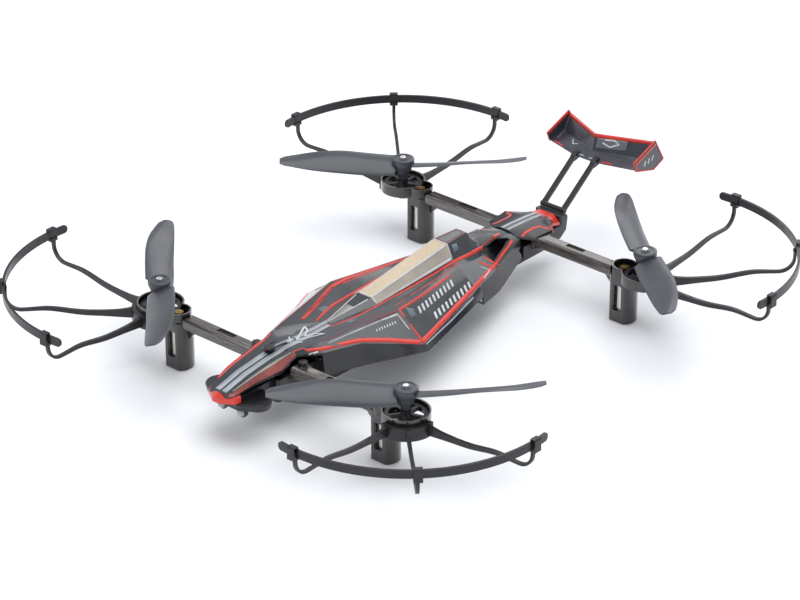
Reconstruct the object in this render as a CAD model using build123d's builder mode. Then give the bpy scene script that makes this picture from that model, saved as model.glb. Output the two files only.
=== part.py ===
from build123d import *
import os
from math import cos, pi, radians, sin, tan

# Quadcopter with geared rotors, ring-shaped propeller guards, a faceted body shell and a rear wing.
# Millimetres. +Z is up, the nose points to -Y, and the origin is on the ground, under the
# centre of the four rotor axes. The feet under the four motors stand at Z = 0.

os.makedirs("parts", exist_ok=True)

# ---------------------------------------------------------------- driving dimensions

# Rotor layout
rotor_x = 79.5  # half the distance between left and right rotor axes
rotor_y = 90.0  # half the distance between front and rear rotor axes
hub_top = 42.9

# Gear train of each rotor
gear_module = 0.35
spur_teeth = 58
pinion_teeth = 12
mesh_slack = 0.05
gear_centres = gear_module * (spur_teeth + pinion_teeth) / 2 + mesh_slack
motor_x = rotor_x - gear_centres
gear_z = 27.0
gear_face = 2.0
shaft_r = 1.0
shaft_clearance = 0.03

# Motor pod and gear basket
pod_r = 7.1
pod_flat = 5.7
pod_wall_top = 26.0
basket_r = 11.7
basket_wall = 0.8
basket_top = 30.8
basket_floor = 26.2
floor_thick = 1.0
can_r = 4.25
can_base = 4.6
can_length = 19.6

# Arms
arm_width = 7.5
arm_height = 6.0
arm_top = 28.8
arm_wall = 1.1
arm_mid_z = arm_top - arm_height / 2

# Propellers
prop_r = 65.0
hub_r = 6.0
hub_foot_r = 4.0
boss_r = 2.5

# Propeller guards
ring_r = 75.7
ring_half_angle = 52.15
ring_thick = 1.3
ring_height = 4.2
ring_z = 39.9
rib_thick = 2.0
clip_angle = 45.0

# Chassis
tray_half = 12.0
tray_front = -104.0
tray_rear = 103.0
tray_floor = 11.0
tray_top = 26.0
tray_wall = 1.4
nose_floor = 14.2
tail_floor = 17.8

corners = {
    "front_left": (-1, -1),
    "front_right": (1, -1),
    "rear_left": (-1, 1),
    "rear_right": (1, 1),
}
# Direction each blade pair points, and the way it turns seen from above (1 anticlockwise).
blades = {
    "front_left": (-48.0, 1),
    "front_right": (45.0, -1),
    "rear_left": (42.0, -1),
    "rear_right": (-42.5, 1),
}


def at(x, y, z):
    """A level plane with its origin at the point."""
    return Plane(origin=(x, y, z))


def radial_plane(x, y, angle):
    """An upright plane through the vertical line at x, y: its X runs outwards, its Y up."""
    out = (cos(radians(angle)), sin(radians(angle)), 0)
    return Plane(origin=(x, y, 0), x_dir=out, z_dir=(out[1], -out[0], 0))


# ---------------------------------------------------------------- gears

tooth_slope = tan(radians(20))
dedendum = 1.25 * gear_module
backlash = 0.07


def tooth_gaps(teeth, first_gap):
    """The gaps of a straight-sided gear, cut with a little backlash from the sketch in hand."""
    gap_at_pitch = gear_module * pi / 2 + backlash
    root = gap_at_pitch / 2 - dedendum * tooth_slope
    mouth = gap_at_pitch / 2 + (gear_module + 0.1) * tooth_slope
    with PolarLocations(gear_module * teeth / 2, teeth, start_angle=first_gap):
        Polygon(
            (-dedendum, -root),
            (gear_module + 0.1, -mouth),
            (gear_module + 0.1, mouth),
            (-dedendum, root),
            align=None,
            mode=Mode.SUBTRACT,
        )


spur_hub_r = 2.6
spur_hub_top = 31.0
spoke_count = 5
spoke_width = 1.7
rim_inner = 8.3

with BuildPart() as spur_wheel:
    with BuildSketch(at(0, 0, gear_z)):
        Circle(gear_module * (spur_teeth / 2 + 1))
        tooth_gaps(spur_teeth, 0)
    extrude(amount=gear_face)
    with BuildSketch(at(0, 0, gear_z)):
        Circle(rim_inner)
        Circle(spur_hub_r, mode=Mode.SUBTRACT)
        with PolarLocations(rim_inner / 2, spoke_count, start_angle=18):
            Rectangle(rim_inner + 1, spoke_width, mode=Mode.SUBTRACT)
    extrude(amount=gear_face, mode=Mode.SUBTRACT)
    with BuildSketch(at(0, 0, gear_z - 0.3)):
        Circle(spur_hub_r)
    extrude(amount=spur_hub_top - gear_z + 0.3)
    with BuildSketch(at(0, 0, gear_z - 1)):
        Circle(shaft_r)
    extrude(amount=8, mode=Mode.SUBTRACT)

pinion_z = gear_z - 0.4
pinion_face = 2.9
motor_shaft_r = 0.5
motor_shaft_foot = can_base + 8
motor_shaft_tip = pinion_z + pinion_face + 0.4

with BuildPart() as pinion_wheel:
    with BuildSketch(at(0, 0, pinion_z)):
        Circle(gear_module * (pinion_teeth / 2 + 1))
        tooth_gaps(pinion_teeth, 180 / pinion_teeth)
    extrude(amount=pinion_face)
    with BuildSketch(at(0, 0, motor_shaft_foot)):
        Circle(motor_shaft_r)
    extrude(amount=motor_shaft_tip - motor_shaft_foot)

for name, (sx, sy) in corners.items():
    with BuildPart() as spur_gear:
        with Locations((sx * rotor_x, sy * rotor_y, 0)):
            add(spur_wheel.part)
    spur_gear.part.label = f"spur_gear_{name}"
    export_step(spur_gear.part, f"parts/spur_gear_{name}.step")
    with BuildPart() as pinion:
        with Locations((sx * motor_x, sy * rotor_y, 0)):
            add(pinion_wheel.part)
    pinion.part.label = f"pinion_{name}"
    export_step(pinion.part, f"parts/pinion_{name}.step")

# ---------------------------------------------------------------- shafts and bushes

shaft_foot = 20.7
shaft_head_r = 1.5
shaft_head = 0.9

for name, (sx, sy) in corners.items():
    x, y = sx * rotor_x, sy * rotor_y
    with BuildPart() as prop_shaft:
        with BuildSketch(at(x, y, shaft_foot)):
            Circle(shaft_r)
        extrude(amount=hub_top - shaft_foot)
        with BuildSketch(at(x, y, hub_top)):
            Circle(shaft_head_r)
        extrude(amount=shaft_head)
        chamfer(prop_shaft.edges().sort_by(Axis.Z)[-1], 0.25)
        chamfer(prop_shaft.edges().sort_by(Axis.Z)[0], 0.2)
    prop_shaft.part.label = f"prop_shaft_{name}"
    export_step(prop_shaft.part, f"parts/prop_shaft_{name}.step")

bush_r = 2.0
bush_length = 1.8
lower_bush_z = 20.9
upper_bush_z = basket_floor - bush_length

with BuildPart() as shaft_bushes:
    for sx, sy in corners.values():
        for z in (lower_bush_z, upper_bush_z):
            with BuildSketch(at(sx * rotor_x, sy * rotor_y, z)):
                Circle(bush_r)
                Circle(shaft_r + shaft_clearance, mode=Mode.SUBTRACT)
            extrude(amount=bush_length)
shaft_bushes.part.label = "shaft_bushes"
export_step(shaft_bushes.part, "parts/shaft_bushes.step")

# ---------------------------------------------------------------- motors

for name, (sx, sy) in corners.items():
    x, y = sx * motor_x, sy * rotor_y
    with BuildPart() as motor_can:
        with BuildSketch(at(x, y, can_base)):
            Circle(can_r)
        extrude(amount=can_length - 1.2)
        fillet(motor_can.edges().group_by(Axis.Z)[-1], 0.5)
        with BuildSketch(at(x, y, can_base + can_length - 1.2)):
            Circle(1.4)
        extrude(amount=1.0)
        with BuildSketch(at(x, y, can_base - 0.9)):
            Circle(can_r - 0.5)
        extrude(amount=0.9)
        with BuildSketch(at(x, y, motor_shaft_foot - 0.4)):
            Circle(motor_shaft_r + 0.05)
        extrude(amount=can_length, mode=Mode.SUBTRACT)
    motor_can.part.label = f"motor_can_{name}"
    export_step(motor_can.part, f"parts/motor_can_{name}.step")

# ---------------------------------------------------------------- motor pods with gear baskets

window_width = 5.2
window_base = 6.6
window_height = 14.2
bearing_boss_r = 3.2
gusset_drop = 5.6
gusset_reach = 5.5
spigot_length = 6.0
spigot_play = 0.05
floor_spokes = 4

for name, (sx, sy) in corners.items():
    mx, my = sx * motor_x, sy * rotor_y
    x, y = sx * rotor_x, sy * rotor_y
    inward = -sx
    with BuildPart() as motor_pod:
        # the foot: a round tube with flat front and back
        with BuildSketch(at(mx, my, 0)):
            Circle(pod_r)
            Rectangle(3 * pod_r, 2 * pod_flat, mode=Mode.INTERSECT)
        extrude(amount=pod_wall_top)
        fillet(motor_pod.edges().group_by(Axis.Z)[0], 0.6)
        # the basket: a shallow cup round the spur gear, on a cone down to the lower bearing
        with BuildSketch(at(x, y, basket_floor - floor_thick)):
            Circle(basket_r)
        extrude(amount=basket_top - basket_floor + floor_thick)
        with BuildSketch(at(mx, my, basket_floor - floor_thick)):
            Circle(6.3)
        extrude(amount=basket_top - basket_floor + floor_thick)
        with BuildSketch(at(x, y, lower_bush_z - 0.4)) as boss_foot:
            Circle(bearing_boss_r)
        with BuildSketch(at(x, y, basket_floor - floor_thick / 2)) as boss_head:
            Circle(basket_r - 1.5)
        loft([boss_foot.sketch, boss_head.sketch])
        # inside of the cup and of the pinion's smaller cup
        with BuildSketch(at(x, y, basket_floor)):
            Circle(basket_r - basket_wall)
            with Locations((mx - x, 0)):
                Circle(5.5)
        extrude(amount=10, mode=Mode.SUBTRACT)
        # open sectors between the floor's spokes, away from the pod
        with BuildSketch(at(x, y, 0)):
            Circle(basket_r - 2.0)
            Circle(bearing_boss_r + 0.8, mode=Mode.SUBTRACT)
            with PolarLocations((basket_r - 1) / 2, floor_spokes, start_angle=45):
                Rectangle(basket_r, 2.0, mode=Mode.SUBTRACT)
            with Locations((mx - x, 0)):
                Circle(pod_r + 0.4, mode=Mode.SUBTRACT)
        extrude(amount=basket_floor, mode=Mode.SUBTRACT)
        # bearing seats and shaft way
        for z in (lower_bush_z, upper_bush_z):
            with BuildSketch(at(x, y, z)):
                Circle(bush_r)
            extrude(amount=bush_length, mode=Mode.SUBTRACT)
        with BuildSketch(at(x, y, shaft_foot - 0.3)):
            Circle(shaft_r + 0.25)
        extrude(amount=10, mode=Mode.SUBTRACT)
        # motor bore, shaft hole, lead hole and the two windows
        with BuildSketch(at(mx, my, can_base - 1.1)):
            Circle(can_r + 0.08)
        extrude(amount=can_length + 1.2, mode=Mode.SUBTRACT)
        with BuildSketch(at(mx, my, 0)):
            Circle(1.8)
        extrude(amount=40, mode=Mode.SUBTRACT)
        with BuildSketch(Plane(origin=(mx, my, 0), x_dir=(1, 0, 0), z_dir=(0, -1, 0))):
            with Locations((0, window_base + window_height / 2)):
                RectangleRounded(window_width, window_height, 0.8)
        extrude(amount=2 * pod_r, both=True, mode=Mode.SUBTRACT)
        # gusset under the arm
        gusset_foot = arm_top - arm_height - gusset_drop
        gusset_top = arm_top - arm_height - 0.02
        pod_side = mx + inward * (pod_r - 0.6)
        with BuildSketch(Plane(origin=(pod_side, my, 0), x_dir=(inward, 0, 0), z_dir=(0, -inward, 0))):
            Polygon(
                (0, gusset_foot),
                (0, gusset_top),
                (gusset_reach, gusset_top),
                (gusset_reach, gusset_top - 0.8),
                (0.8, gusset_foot),
                align=None,
            )
        extrude(amount=0.7, both=True)
        # spigot inside the arm's end
        with BuildSketch(Plane(origin=(pod_side, my, arm_mid_z), x_dir=(0, 1, 0), z_dir=(inward, 0, 0))):
            RectangleRounded(
                arm_width - 2 * arm_wall - 2 * spigot_play,
                arm_height - 2 * arm_wall - 2 * spigot_play,
                0.5,
            )
            Rectangle(3.0, 1.8, mode=Mode.SUBTRACT)
        extrude(amount=spigot_length)
    motor_pod.part.label = f"motor_pod_{name}"
    export_step(motor_pod.part, f"parts/motor_pod_{name}.step")

# ---------------------------------------------------------------- arms

arm_root = tray_half
recess_x = 35.5
recess_length = 11.0
recess_width = 3.0
recess_depth = 0.7
root_reach = 6.5
root_width = 11.0
root_height = 8.0
knob_x = 15.0
knob_seat_r = 2.6
knob_seat_z = 30.2

for name, (sx, sy) in corners.items():
    mx, my = sx * motor_x, sy * rotor_y
    with BuildPart() as arm:
        root_face = Plane(origin=(sx * arm_root, my, arm_mid_z), x_dir=(0, 1, 0), z_dir=(sx, 0, 0))
        with BuildSketch(root_face):
            RectangleRounded(arm_width, arm_height, 1.5)
        extrude(amount=motor_x - arm_root - pod_r / 2)
        with BuildSketch(root_face):
            RectangleRounded(root_width, root_height, 1.8)
        with BuildSketch(root_face.offset(root_reach)):
            RectangleRounded(arm_width, arm_height, 1.5)
        loft()
        if sy < 0:
            with BuildSketch(at(sx * knob_x, my, arm_mid_z)):
                Circle(knob_seat_r)
            extrude(amount=knob_seat_z - arm_mid_z)
        with BuildSketch(root_face):
            RectangleRounded(arm_width - 2 * arm_wall, arm_height - 2 * arm_wall, 0.5)
        extrude(amount=motor_x, mode=Mode.SUBTRACT)
        with BuildSketch(at(mx, my, 0)):
            Circle(pod_r + 0.02)
        extrude(amount=2 * arm_top, mode=Mode.SUBTRACT)
        with BuildSketch(at(sx * recess_x, my + 0.6, arm_top - recess_depth)):
            RectangleRounded(recess_length, recess_width, 0.6)
        extrude(amount=5, mode=Mode.SUBTRACT)
    arm.part.label = f"arm_{name}"
    export_step(arm.part, f"parts/arm_{name}.step")

lead_r = 0.45
with BuildPart() as motor_leads:
    for sx, sy in corners.values():
        for side in (-1, 1):
            start = (sx * (arm_root + 0.5), sy * rotor_y + side * 0.75, arm_mid_z)
            with BuildSketch(Plane(origin=start, x_dir=(0, 1, 0), z_dir=(sx, 0, 0))):
                Circle(lead_r)
            extrude(amount=motor_x - pod_r - arm_root - 1.2)
motor_leads.part.label = "motor_leads"
export_step(motor_leads.part, "parts/motor_leads.step")

# ---------------------------------------------------------------- propellers

# One blade: distance out, leading edge ahead of the pitch line, trailing edge behind it,
# pitch angle, height of the pitch line and thickness.
blade_stations = [
    (5.0, 8.0, 6.5, 22, 38.0, 2.2),
    (12, 8.6, 6.6, 23, 38.1, 2.0),
    (20, 9.2, 6.4, 24.5, 38.3, 1.9),
    (31, 9.7, 5.8, 26, 38.9, 1.6),
    (42, 9.0, 5.4, 24, 39.6, 1.4),
    (50, 7.6, 5.0, 20, 40.2, 1.2),
    (57, 5.6, 4.6, 15, 41.0, 1.0),
    (62, 3.8, 4.2, 12, 41.6, 0.9),
    (prop_r, 1.6, 3.4, 10, 42.0, 0.8),
]
camber = 0.055


def blade_section(x, y, angle, hand, station):
    """A thin cambered section across the blade: two arcs that meet at its edges."""
    reach, lead, trail, pitch, height, thick = station
    out = (cos(radians(angle)), sin(radians(angle)))
    ahead = (-hand * out[1], hand * out[0])
    level = cos(radians(pitch))
    plane = Plane(
        origin=(x + reach * out[0], y + reach * out[1], height),
        x_dir=(ahead[0] * level, ahead[1] * level, sin(radians(pitch))),
        z_dir=(hand * out[0], hand * out[1], 0),
    )
    middle = (lead - trail) / 2
    rise = camber * (lead + trail)
    with BuildSketch(plane) as section:
        with BuildLine():
            ThreePointArc((-trail, 0), (middle, rise + thick / 2), (lead, 0))
            ThreePointArc((lead, 0), (middle, rise - thick / 2), (-trail, 0))
        make_face()
    return section.sketch


hub_waist_z = 35.4
boss_foot_z = 31.2

for name, (sx, sy) in corners.items():
    x, y = sx * rotor_x, sy * rotor_y
    angle, hand = blades[name]
    pair = [
        loft([blade_section(x, y, angle + turn, hand, s) for s in blade_stations]) for turn in (0, 180)
    ]
    with BuildPart() as propeller:
        with BuildSketch(at(x, y, hub_waist_z)):
            Circle(hub_foot_r)
        with BuildSketch(at(x, y, hub_top - 2.2)):
            Circle(hub_r)
        loft()
        with BuildSketch(at(x, y, hub_top - 2.2)):
            Circle(hub_r)
        extrude(amount=2.2)
        fillet(propeller.edges().group_by(Axis.Z)[-1], 0.4)
        add(pair[0])
        add(pair[1])
        with BuildSketch(at(x, y, boss_foot_z)):
            Circle(boss_r)
        extrude(amount=hub_waist_z - boss_foot_z)
        with BuildSketch(at(x, y, boss_foot_z - 1)):
            Circle(shaft_r)
        extrude(amount=hub_top, mode=Mode.SUBTRACT)
    propeller.part.label = f"propeller_{name}"
    export_step(propeller.part, f"parts/propeller_{name}.step")

# ---------------------------------------------------------------- propeller guards

bracket_inner = basket_r + 0.05
bracket_outer = 14.4
bracket_foot = 21.4
bracket_top = 28.4
bracket_half_angle = 58.0
hook_centre_r = 67.3
hook_low_z = 27.7
hook_high_z = 29.5
hook_r = 7.7
leg_half = 0.9
clip_width = 4.6
clip_foot = 38.4
clip_top = 45.3
clip_outer_r = 78.1
ring_play = 0.02

for name, (sx, sy) in corners.items():
    x, y = sx * rotor_x, sy * rotor_y
    outward = 45 * (2 - sx) * sy  # the corner's own diagonal: 45 or 135, front or rear
    start = outward - ring_half_angle
    end = outward + ring_half_angle
    with BuildPart() as guard_ring:
        with BuildSketch(radial_plane(x, y, start)):
            with Locations((ring_r, ring_z + ring_height / 2)):
                Rectangle(ring_thick, ring_height)
        revolve(axis=Axis((x, y, 0), (0, 0, 1)), revolution_arc=end - start)
        corner_edges = guard_ring.edges().filter_by(lambda e: abs(e.length - ring_thick) < 0.001)
        fillet(corner_edges, 1.8)
    guard_ring.part.label = f"guard_ring_{name}"
    export_step(guard_ring.part, f"parts/guard_ring_{name}.step")

    with BuildPart() as guard_spider:
        # bracket that hugs the basket
        with BuildSketch(radial_plane(x, y, outward - bracket_half_angle)):
            with Locations(((bracket_inner + bracket_outer) / 2, (bracket_foot + bracket_top) / 2)):
                Rectangle(bracket_outer - bracket_inner, bracket_top - bracket_foot)
        revolve(axis=Axis((x, y, 0), (0, 0, 1)), revolution_arc=2 * bracket_half_angle)
        for angle in (outward - clip_angle, outward, outward + clip_angle):
            # a rib that runs out low and hooks up to the ring
            with BuildSketch(radial_plane(x, y, angle)):
                with BuildLine():
                    low = Spline(
                        (bracket_outer - 0.8, 22.4),
                        (26, 23.6),
                        (40, 25.0),
                        (55, 27.7),
                        (hook_centre_r, hook_low_z),
                        tangents=[(1, 0.05), (1, 0)],
                    )
                    outer_hook = JernArc(low @ 1, (1, 0), hook_r + leg_half, 90)
                    outer_leg = Line(outer_hook @ 1, ((outer_hook @ 1).X, clip_foot + 0.5))
                    cap = Line(outer_leg @ 1, outer_leg @ 1 - Vector(2 * leg_half, 0))
                    inner_leg = Line(cap @ 1, ((cap @ 1).X, hook_high_z + hook_r - leg_half))
                    inner_hook = JernArc(inner_leg @ 1, (0, -1), hook_r - leg_half, -90)
                    high = Spline(
                        inner_hook @ 1,
                        (55, 30.0),
                        (40, 27.8),
                        (26, 27.0),
                        (bracket_outer - 0.8, bracket_top - 0.3),
                        tangents=[(-1, 0), (-1, 0.2)],
                    )
                    Line(high @ 1, low @ 0)
                make_face()
            extrude(amount=rib_thick / 2, both=True)
            # clip under and outside the ring
            with BuildSketch(radial_plane(x, y, angle)):
                with BuildLine():
                    Polyline(
                        (hook_centre_r + hook_r - leg_half, clip_foot),
                        (clip_outer_r, clip_foot),
                        (clip_outer_r, clip_top - 0.6),
                        (clip_outer_r - 0.6, clip_top),
                        (ring_r - 0.9, clip_top),
                        (ring_r - 0.9, ring_z + 0.5),
                        (hook_centre_r + hook_r - leg_half, ring_z + 0.5),
                        close=True,
                    )
                make_face()
            extrude(amount=clip_width / 2, both=True)
        with BuildSketch(radial_plane(x, y, start - 5)):
            with Locations((ring_r, ring_z + ring_height / 2)):
                Rectangle(ring_thick + 2 * ring_play, ring_height + 2 * ring_play)
        revolve(axis=Axis((x, y, 0), (0, 0, 1)), revolution_arc=end - start + 10, mode=Mode.SUBTRACT)
    guard_spider.part.label = f"guard_spider_{name}"
    export_step(guard_spider.part, f"parts/guard_spider_{name}.step")

# ---------------------------------------------------------------- body shell

# Stations along the body. Each has the half outline of the shell, from its lower rim up to the
# centre: rim, lower crease, upper crease, foot of the cabin and top of the cabin, as (x, z).
wall = 0.8
nose_tip = -132.0
tail_end = 76.0
hull_stations = [
    (nose_tip, [(5.6, 26.2), (5.8, 27.0), (5.4, 28.2), (3.0, 28.4), (1.0, 28.5)]),
    (-129.0, [(7.9, 26.6), (8.0, 27.4), (7.0, 28.9), (3.6, 29.1), (1.0, 29.2)]),
    (-117.0, [(9.7, 28.6), (9.6, 29.8), (8.4, 32.2), (4.4, 32.5), (1.0, 32.6)]),
    (-101.0, [(11.9, 29.2), (11.6, 30.6), (9.4, 34.6), (6.0, 34.8), (1.0, 34.9)]),
    (-90.4, [(11.3, 33.0), (11.0, 34.0), (10.0, 35.4), (6.0, 35.6), (1.0, 35.7)]),
    (-78.2, [(16.9, 31.2), (16.8, 32.2), (12.8, 35.8), (5.0, 34.9), (1.0, 34.8)]),
    (-77.2, [(17.3, 19.6), (17.2, 32.1), (13.0, 35.9), (5.0, 34.8), (1.0, 34.7)]),
    (-57.4, [(24.6, 19.6), (23.4, 31.3), (16.8, 36.5), (2.0, 33.9), (0.8, 34.2)]),
    (-29.5, [(41.1, 21.7), (38.9, 24.7), (21.9, 37.8), (8.0, 35.2), (4.1, 37.8)]),
    (26.5, [(26.4, 21.5), (24.1, 26.6), (12.8, 35.2), (8.3, 36.8), (4.3, 45.2)]),
    (30.5, [(25.4, 21.5), (23.1, 26.7), (12.1, 34.6), (8.3, 36.7), (4.2, 45.2)]),
    (31.5, [(24.7, 16.4), (22.8, 26.8), (11.9, 34.5), (8.3, 36.7), (4.1, 45.2)]),
    (43.0, [(22.0, 15.8), (20.2, 27.2), (10.3, 32.8), (8.1, 36.1), (3.2, 45.2)]),
    (49.0, [(20.6, 15.8), (18.3, 27.5), (9.4, 32.3), (8.0, 35.8), (3.4, 39.2)]),
    (62.0, [(16.4, 17.6), (14.6, 29.3), (8.2, 33.0), (5.6, 36.6), (2.2, 37.3)]),
    (tail_end, [(12.6, 20.8), (11.0, 31.0), (7.6, 31.8), (4.4, 32.3), (1.0, 32.7)]),
]


def across(y):
    """An upright plane across the body at y: its X runs to the right side, its Y up."""
    return Plane(origin=(0, y, 0), x_dir=(1, 0, 0), z_dir=(0, -1, 0))


def side_plane(x):
    """An upright plane along the body at x: its X runs to the tail, its Y up."""
    return Plane(origin=(x, 0, 0), x_dir=(0, 1, 0), z_dir=(1, 0, 0))


def hull_section(y, half):
    """The closed outline across the body at y, from its right-hand half."""
    left = [(-x, z) for x, z in reversed(half)]
    with BuildSketch(across(y)) as section:
        Polygon(*half, *left, align=None)
    return section.sketch


def inner_half(half):
    """The same half outline one wall thickness in, left open below the rim."""
    (rim_x, rim_z), (low_x, low_z), (high_x, high_z), (foot_x, foot_z), (top_x, top_z) = half
    return [
        (rim_x - wall, rim_z - 4),
        (low_x - 1.1 * wall, low_z - 0.5 * wall),
        (high_x - 0.5 * wall, high_z - wall),
        (foot_x - 0.4 * wall, foot_z - wall),
        (top_x - 0.3 * wall, top_z - wall),
    ]


with BuildPart() as hull_solid:
    loft([hull_section(y, half) for y, half in hull_stations], ruled=True)

# hollow: the inner loft, and the slot in which the chassis lies
tray_gap = 0.3
with BuildPart() as hull_hollow:
    loft([hull_section(y + wall, inner_half(half)) for y, half in hull_stations], ruled=True)
    with BuildSketch(at(0, (tray_front + tail_end) / 2 + 1, 0)):
        Rectangle(2 * (tray_half + tray_gap), tail_end - tray_front + 4)
    extrude(amount=tray_top + tray_gap)

# The window takes the cabin's facets between its front and rear edges.
window_front = -29.5
window_rear = 26.5
window_half = 7.8
seam = 0.03

with BuildPart() as window_space:
    with BuildSketch(at(0, (window_front + window_rear) / 2, tray_top)):
        Rectangle(2 * window_half, window_rear - window_front)
    extrude(amount=30)

with BuildPart() as window_hole:
    with BuildSketch(at(0, (window_front + window_rear) / 2, tray_top)):
        Rectangle(2 * (window_half + seam), window_rear - window_front + 2 * seam)
    extrude(amount=30)

# The two vents behind the cabin, between the lower crease and the cabin's foot.
with BuildPart() as side_vents:
    for side in (-1, 1):
        with BuildSketch(side_plane(side * 3.0)):
            Polygon(
                (51.0, 28.9),
                (51.0, 34.6),
                (62.0, 35.2),
                (71.0, 32.6),
                (71.0, 31.8),
                (62.0, 30.6),
                align=None,
            )
        extrude(amount=side * 20)

post_y = -96.9
post_r = 1.5

with BuildPart() as body_shell:
    add(hull_solid.part)
    add(hull_hollow.part, mode=Mode.SUBTRACT)
    add(window_hole.part, mode=Mode.SUBTRACT)
    add(side_vents.part, mode=Mode.SUBTRACT)
    with BuildSketch(at(0, post_y, 20)):
        Circle(post_r + 0.2)
    extrude(amount=30, mode=Mode.SUBTRACT)
body_shell.part.label = "body_shell"
export_step(body_shell.part, "parts/body_shell.step")

with BuildPart() as cockpit_window:
    add(hull_solid.part)
    add(hull_hollow.part, mode=Mode.SUBTRACT)
    add(window_space.part, mode=Mode.INTERSECT)
cockpit_window.part.label = "cockpit_window"
export_step(cockpit_window.part, "parts/cockpit_window.step")

# ---------------------------------------------------------------- nose cap

cap_foot = 23.2
cap_top = 28.3
cap_slope = 2.2
cap_half = 9.2
cap_front = -134.0
cap_lip = 1.0


def cap_outline(inset):
    """The rounded-off outline of the nose in plan, pulled in by the inset."""
    with BuildSketch(at(0, 0, cap_foot)) as outline:
        with BuildLine():
            Polyline(
                (-cap_half + inset, -126.2),
                (-cap_half + 0.8 + inset, -129.8 + 0.4 * inset),
                (-2.0 + 0.3 * inset, cap_front + inset),
                (2.0 - 0.3 * inset, cap_front + inset),
                (cap_half - 0.8 - inset, -129.8 + 0.4 * inset),
                (cap_half - inset, -126.2),
                close=True,
            )
        make_face()
    return outline.sketch


with BuildPart() as nose_cap:
    extrude(cap_outline(0), amount=cap_top - cap_slope - cap_foot)
    loft([
        cap_outline(0).moved(Location((0, 0, cap_top - cap_slope - cap_foot))),
        cap_outline(cap_slope).moved(Location((0, 0, cap_top - cap_foot))),
    ])
    extrude(cap_outline(cap_lip), amount=2.6, mode=Mode.SUBTRACT)
    add(hull_solid.part, mode=Mode.SUBTRACT)
    with BuildSketch(at(0, -123.0, cap_foot)):
        Rectangle(14.4, 12)
    extrude(amount=10, mode=Mode.SUBTRACT)
nose_cap.part.label = "nose_cap"
export_step(nose_cap.part, "parts/nose_cap.step")

# ---------------------------------------------------------------- chassis

beam_half = 8.2
beam_front = -124.0
beam_foot = 19.0
beam_top = 25.6
side_cut_z = 19.5
arm_bay_half = 7.5
cross_wall = 1.6
bay_front = -24.0
bay_rear = 42.0
bay_half = 10.0
rail_foot = 8.4
rail_lip = 0.6
rail_half = 11.0
bridge_foot = 21.2
bridge_top = 22.6
switch_y = -50.0


def tray_profile(rise, shorten):
    """Side outline of the tray: low amidships, higher at the nose and the tail."""
    with BuildSketch(side_plane(0)) as profile:
        Polygon(
            (tray_front + shorten, nose_floor + rise),
            (-72.0, nose_floor - 1.0 + rise),
            (-62.0, tray_floor + rise),
            (48.0, tray_floor + rise),
            (64.0, tail_floor + rise),
            (tray_rear - shorten, tail_floor + rise),
            (tray_rear - shorten, tray_top + rise),
            (tray_front + shorten, tray_top + rise),
            align=None,
        )
    return profile.sketch


with BuildPart() as chassis:
    extrude(tray_profile(0, 0), amount=tray_half, both=True)
    outer_corners = chassis.edges().filter_by(Axis.Z).filter_by(lambda e: abs(e.center().X) > beam_half)
    chamfer(outer_corners, 1.5)
    extrude(tray_profile(tray_wall, tray_wall), amount=tray_half - tray_wall, both=True, mode=Mode.SUBTRACT)
    # beam under the nose
    with BuildSketch(at(0, (beam_front + tray_front + tray_wall) / 2, beam_foot)):
        Rectangle(2 * beam_half, tray_front + tray_wall - beam_front)
    extrude(amount=beam_top - beam_foot)
    # side walls cut down between the arms, where the board and battery sit
    with BuildSketch(side_plane(0)):
        with Locations((2.0, 40)):
            Rectangle(152, 2 * (40 - side_cut_z))
    extrude(amount=2 * tray_half, both=True, mode=Mode.SUBTRACT)
    # cross walls beside each pair of arms
    for middle in (-rotor_y, rotor_y):
        with BuildSketch(at(0, middle, tail_floor + tray_wall / 2)):
            with Locations((0, -arm_bay_half), (0, arm_bay_half)):
                Rectangle(2 * (tray_half - tray_wall / 2), cross_wall)
        extrude(amount=tray_top - tail_floor - tray_wall / 2)
    # pillar for the shell's front post
    with BuildSketch(at(0, post_y, nose_floor + tray_wall / 2)):
        Circle(post_r + 1.0)
    extrude(amount=tray_top - nose_floor - tray_wall / 2)
    # lead holes into the arms
    with BuildSketch(side_plane(0)):
        with Locations((-rotor_y, arm_mid_z - 2), (rotor_y, arm_mid_z - 2)):
            Rectangle(4, 3)
    extrude(amount=2 * tray_half, both=True, mode=Mode.SUBTRACT)
    # battery bay opening, with its door's rails below it and two bridges above it
    with BuildSketch(at(0, (bay_front + bay_rear) / 2, tray_floor - 1)):
        RectangleRounded(2 * bay_half, bay_rear - bay_front - 3.6, 1)
    extrude(amount=5, mode=Mode.SUBTRACT)
    for side in (-1, 1):
        with BuildSketch(at(side * (rail_half + 0.5), (bay_front + bay_rear) / 2, rail_foot)):
            Rectangle(1.0, bay_rear - bay_front + 4)
        extrude(amount=tray_floor - rail_foot)
        with BuildSketch(at(side * (rail_half - 0.2), (bay_front + bay_rear) / 2, rail_foot)):
            Rectangle(2.4, bay_rear - bay_front + 4)
        extrude(amount=rail_lip)
    for y in (bay_front + 12, bay_rear - 12):
        with BuildSketch(across(y + 2.5)):
            Polygon(
                (-tray_half, side_cut_z - 0.5),
                (-tray_half + tray_wall, side_cut_z - 0.5),
                (-tray_half + tray_wall, bridge_foot),
                (tray_half - tray_wall, bridge_foot),
                (tray_half - tray_wall, side_cut_z - 0.5),
                (tray_half, side_cut_z - 0.5),
                (tray_half, bridge_top),
                (-tray_half, bridge_top),
                align=None,
            )
        extrude(amount=5)
    with BuildSketch(at(0, switch_y, tray_floor - 1)):
        Rectangle(2.8, 7.2)
    extrude(amount=5, mode=Mode.SUBTRACT)
chassis.part.label = "chassis"
export_step(chassis.part, "parts/chassis.step")

# ---------------------------------------------------------------- battery door

door_play = 0.35
door_half = rail_half - door_play
door_thick = 1.2
door_foot = rail_foot + rail_lip + door_play
ridge_height = 0.6

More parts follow.
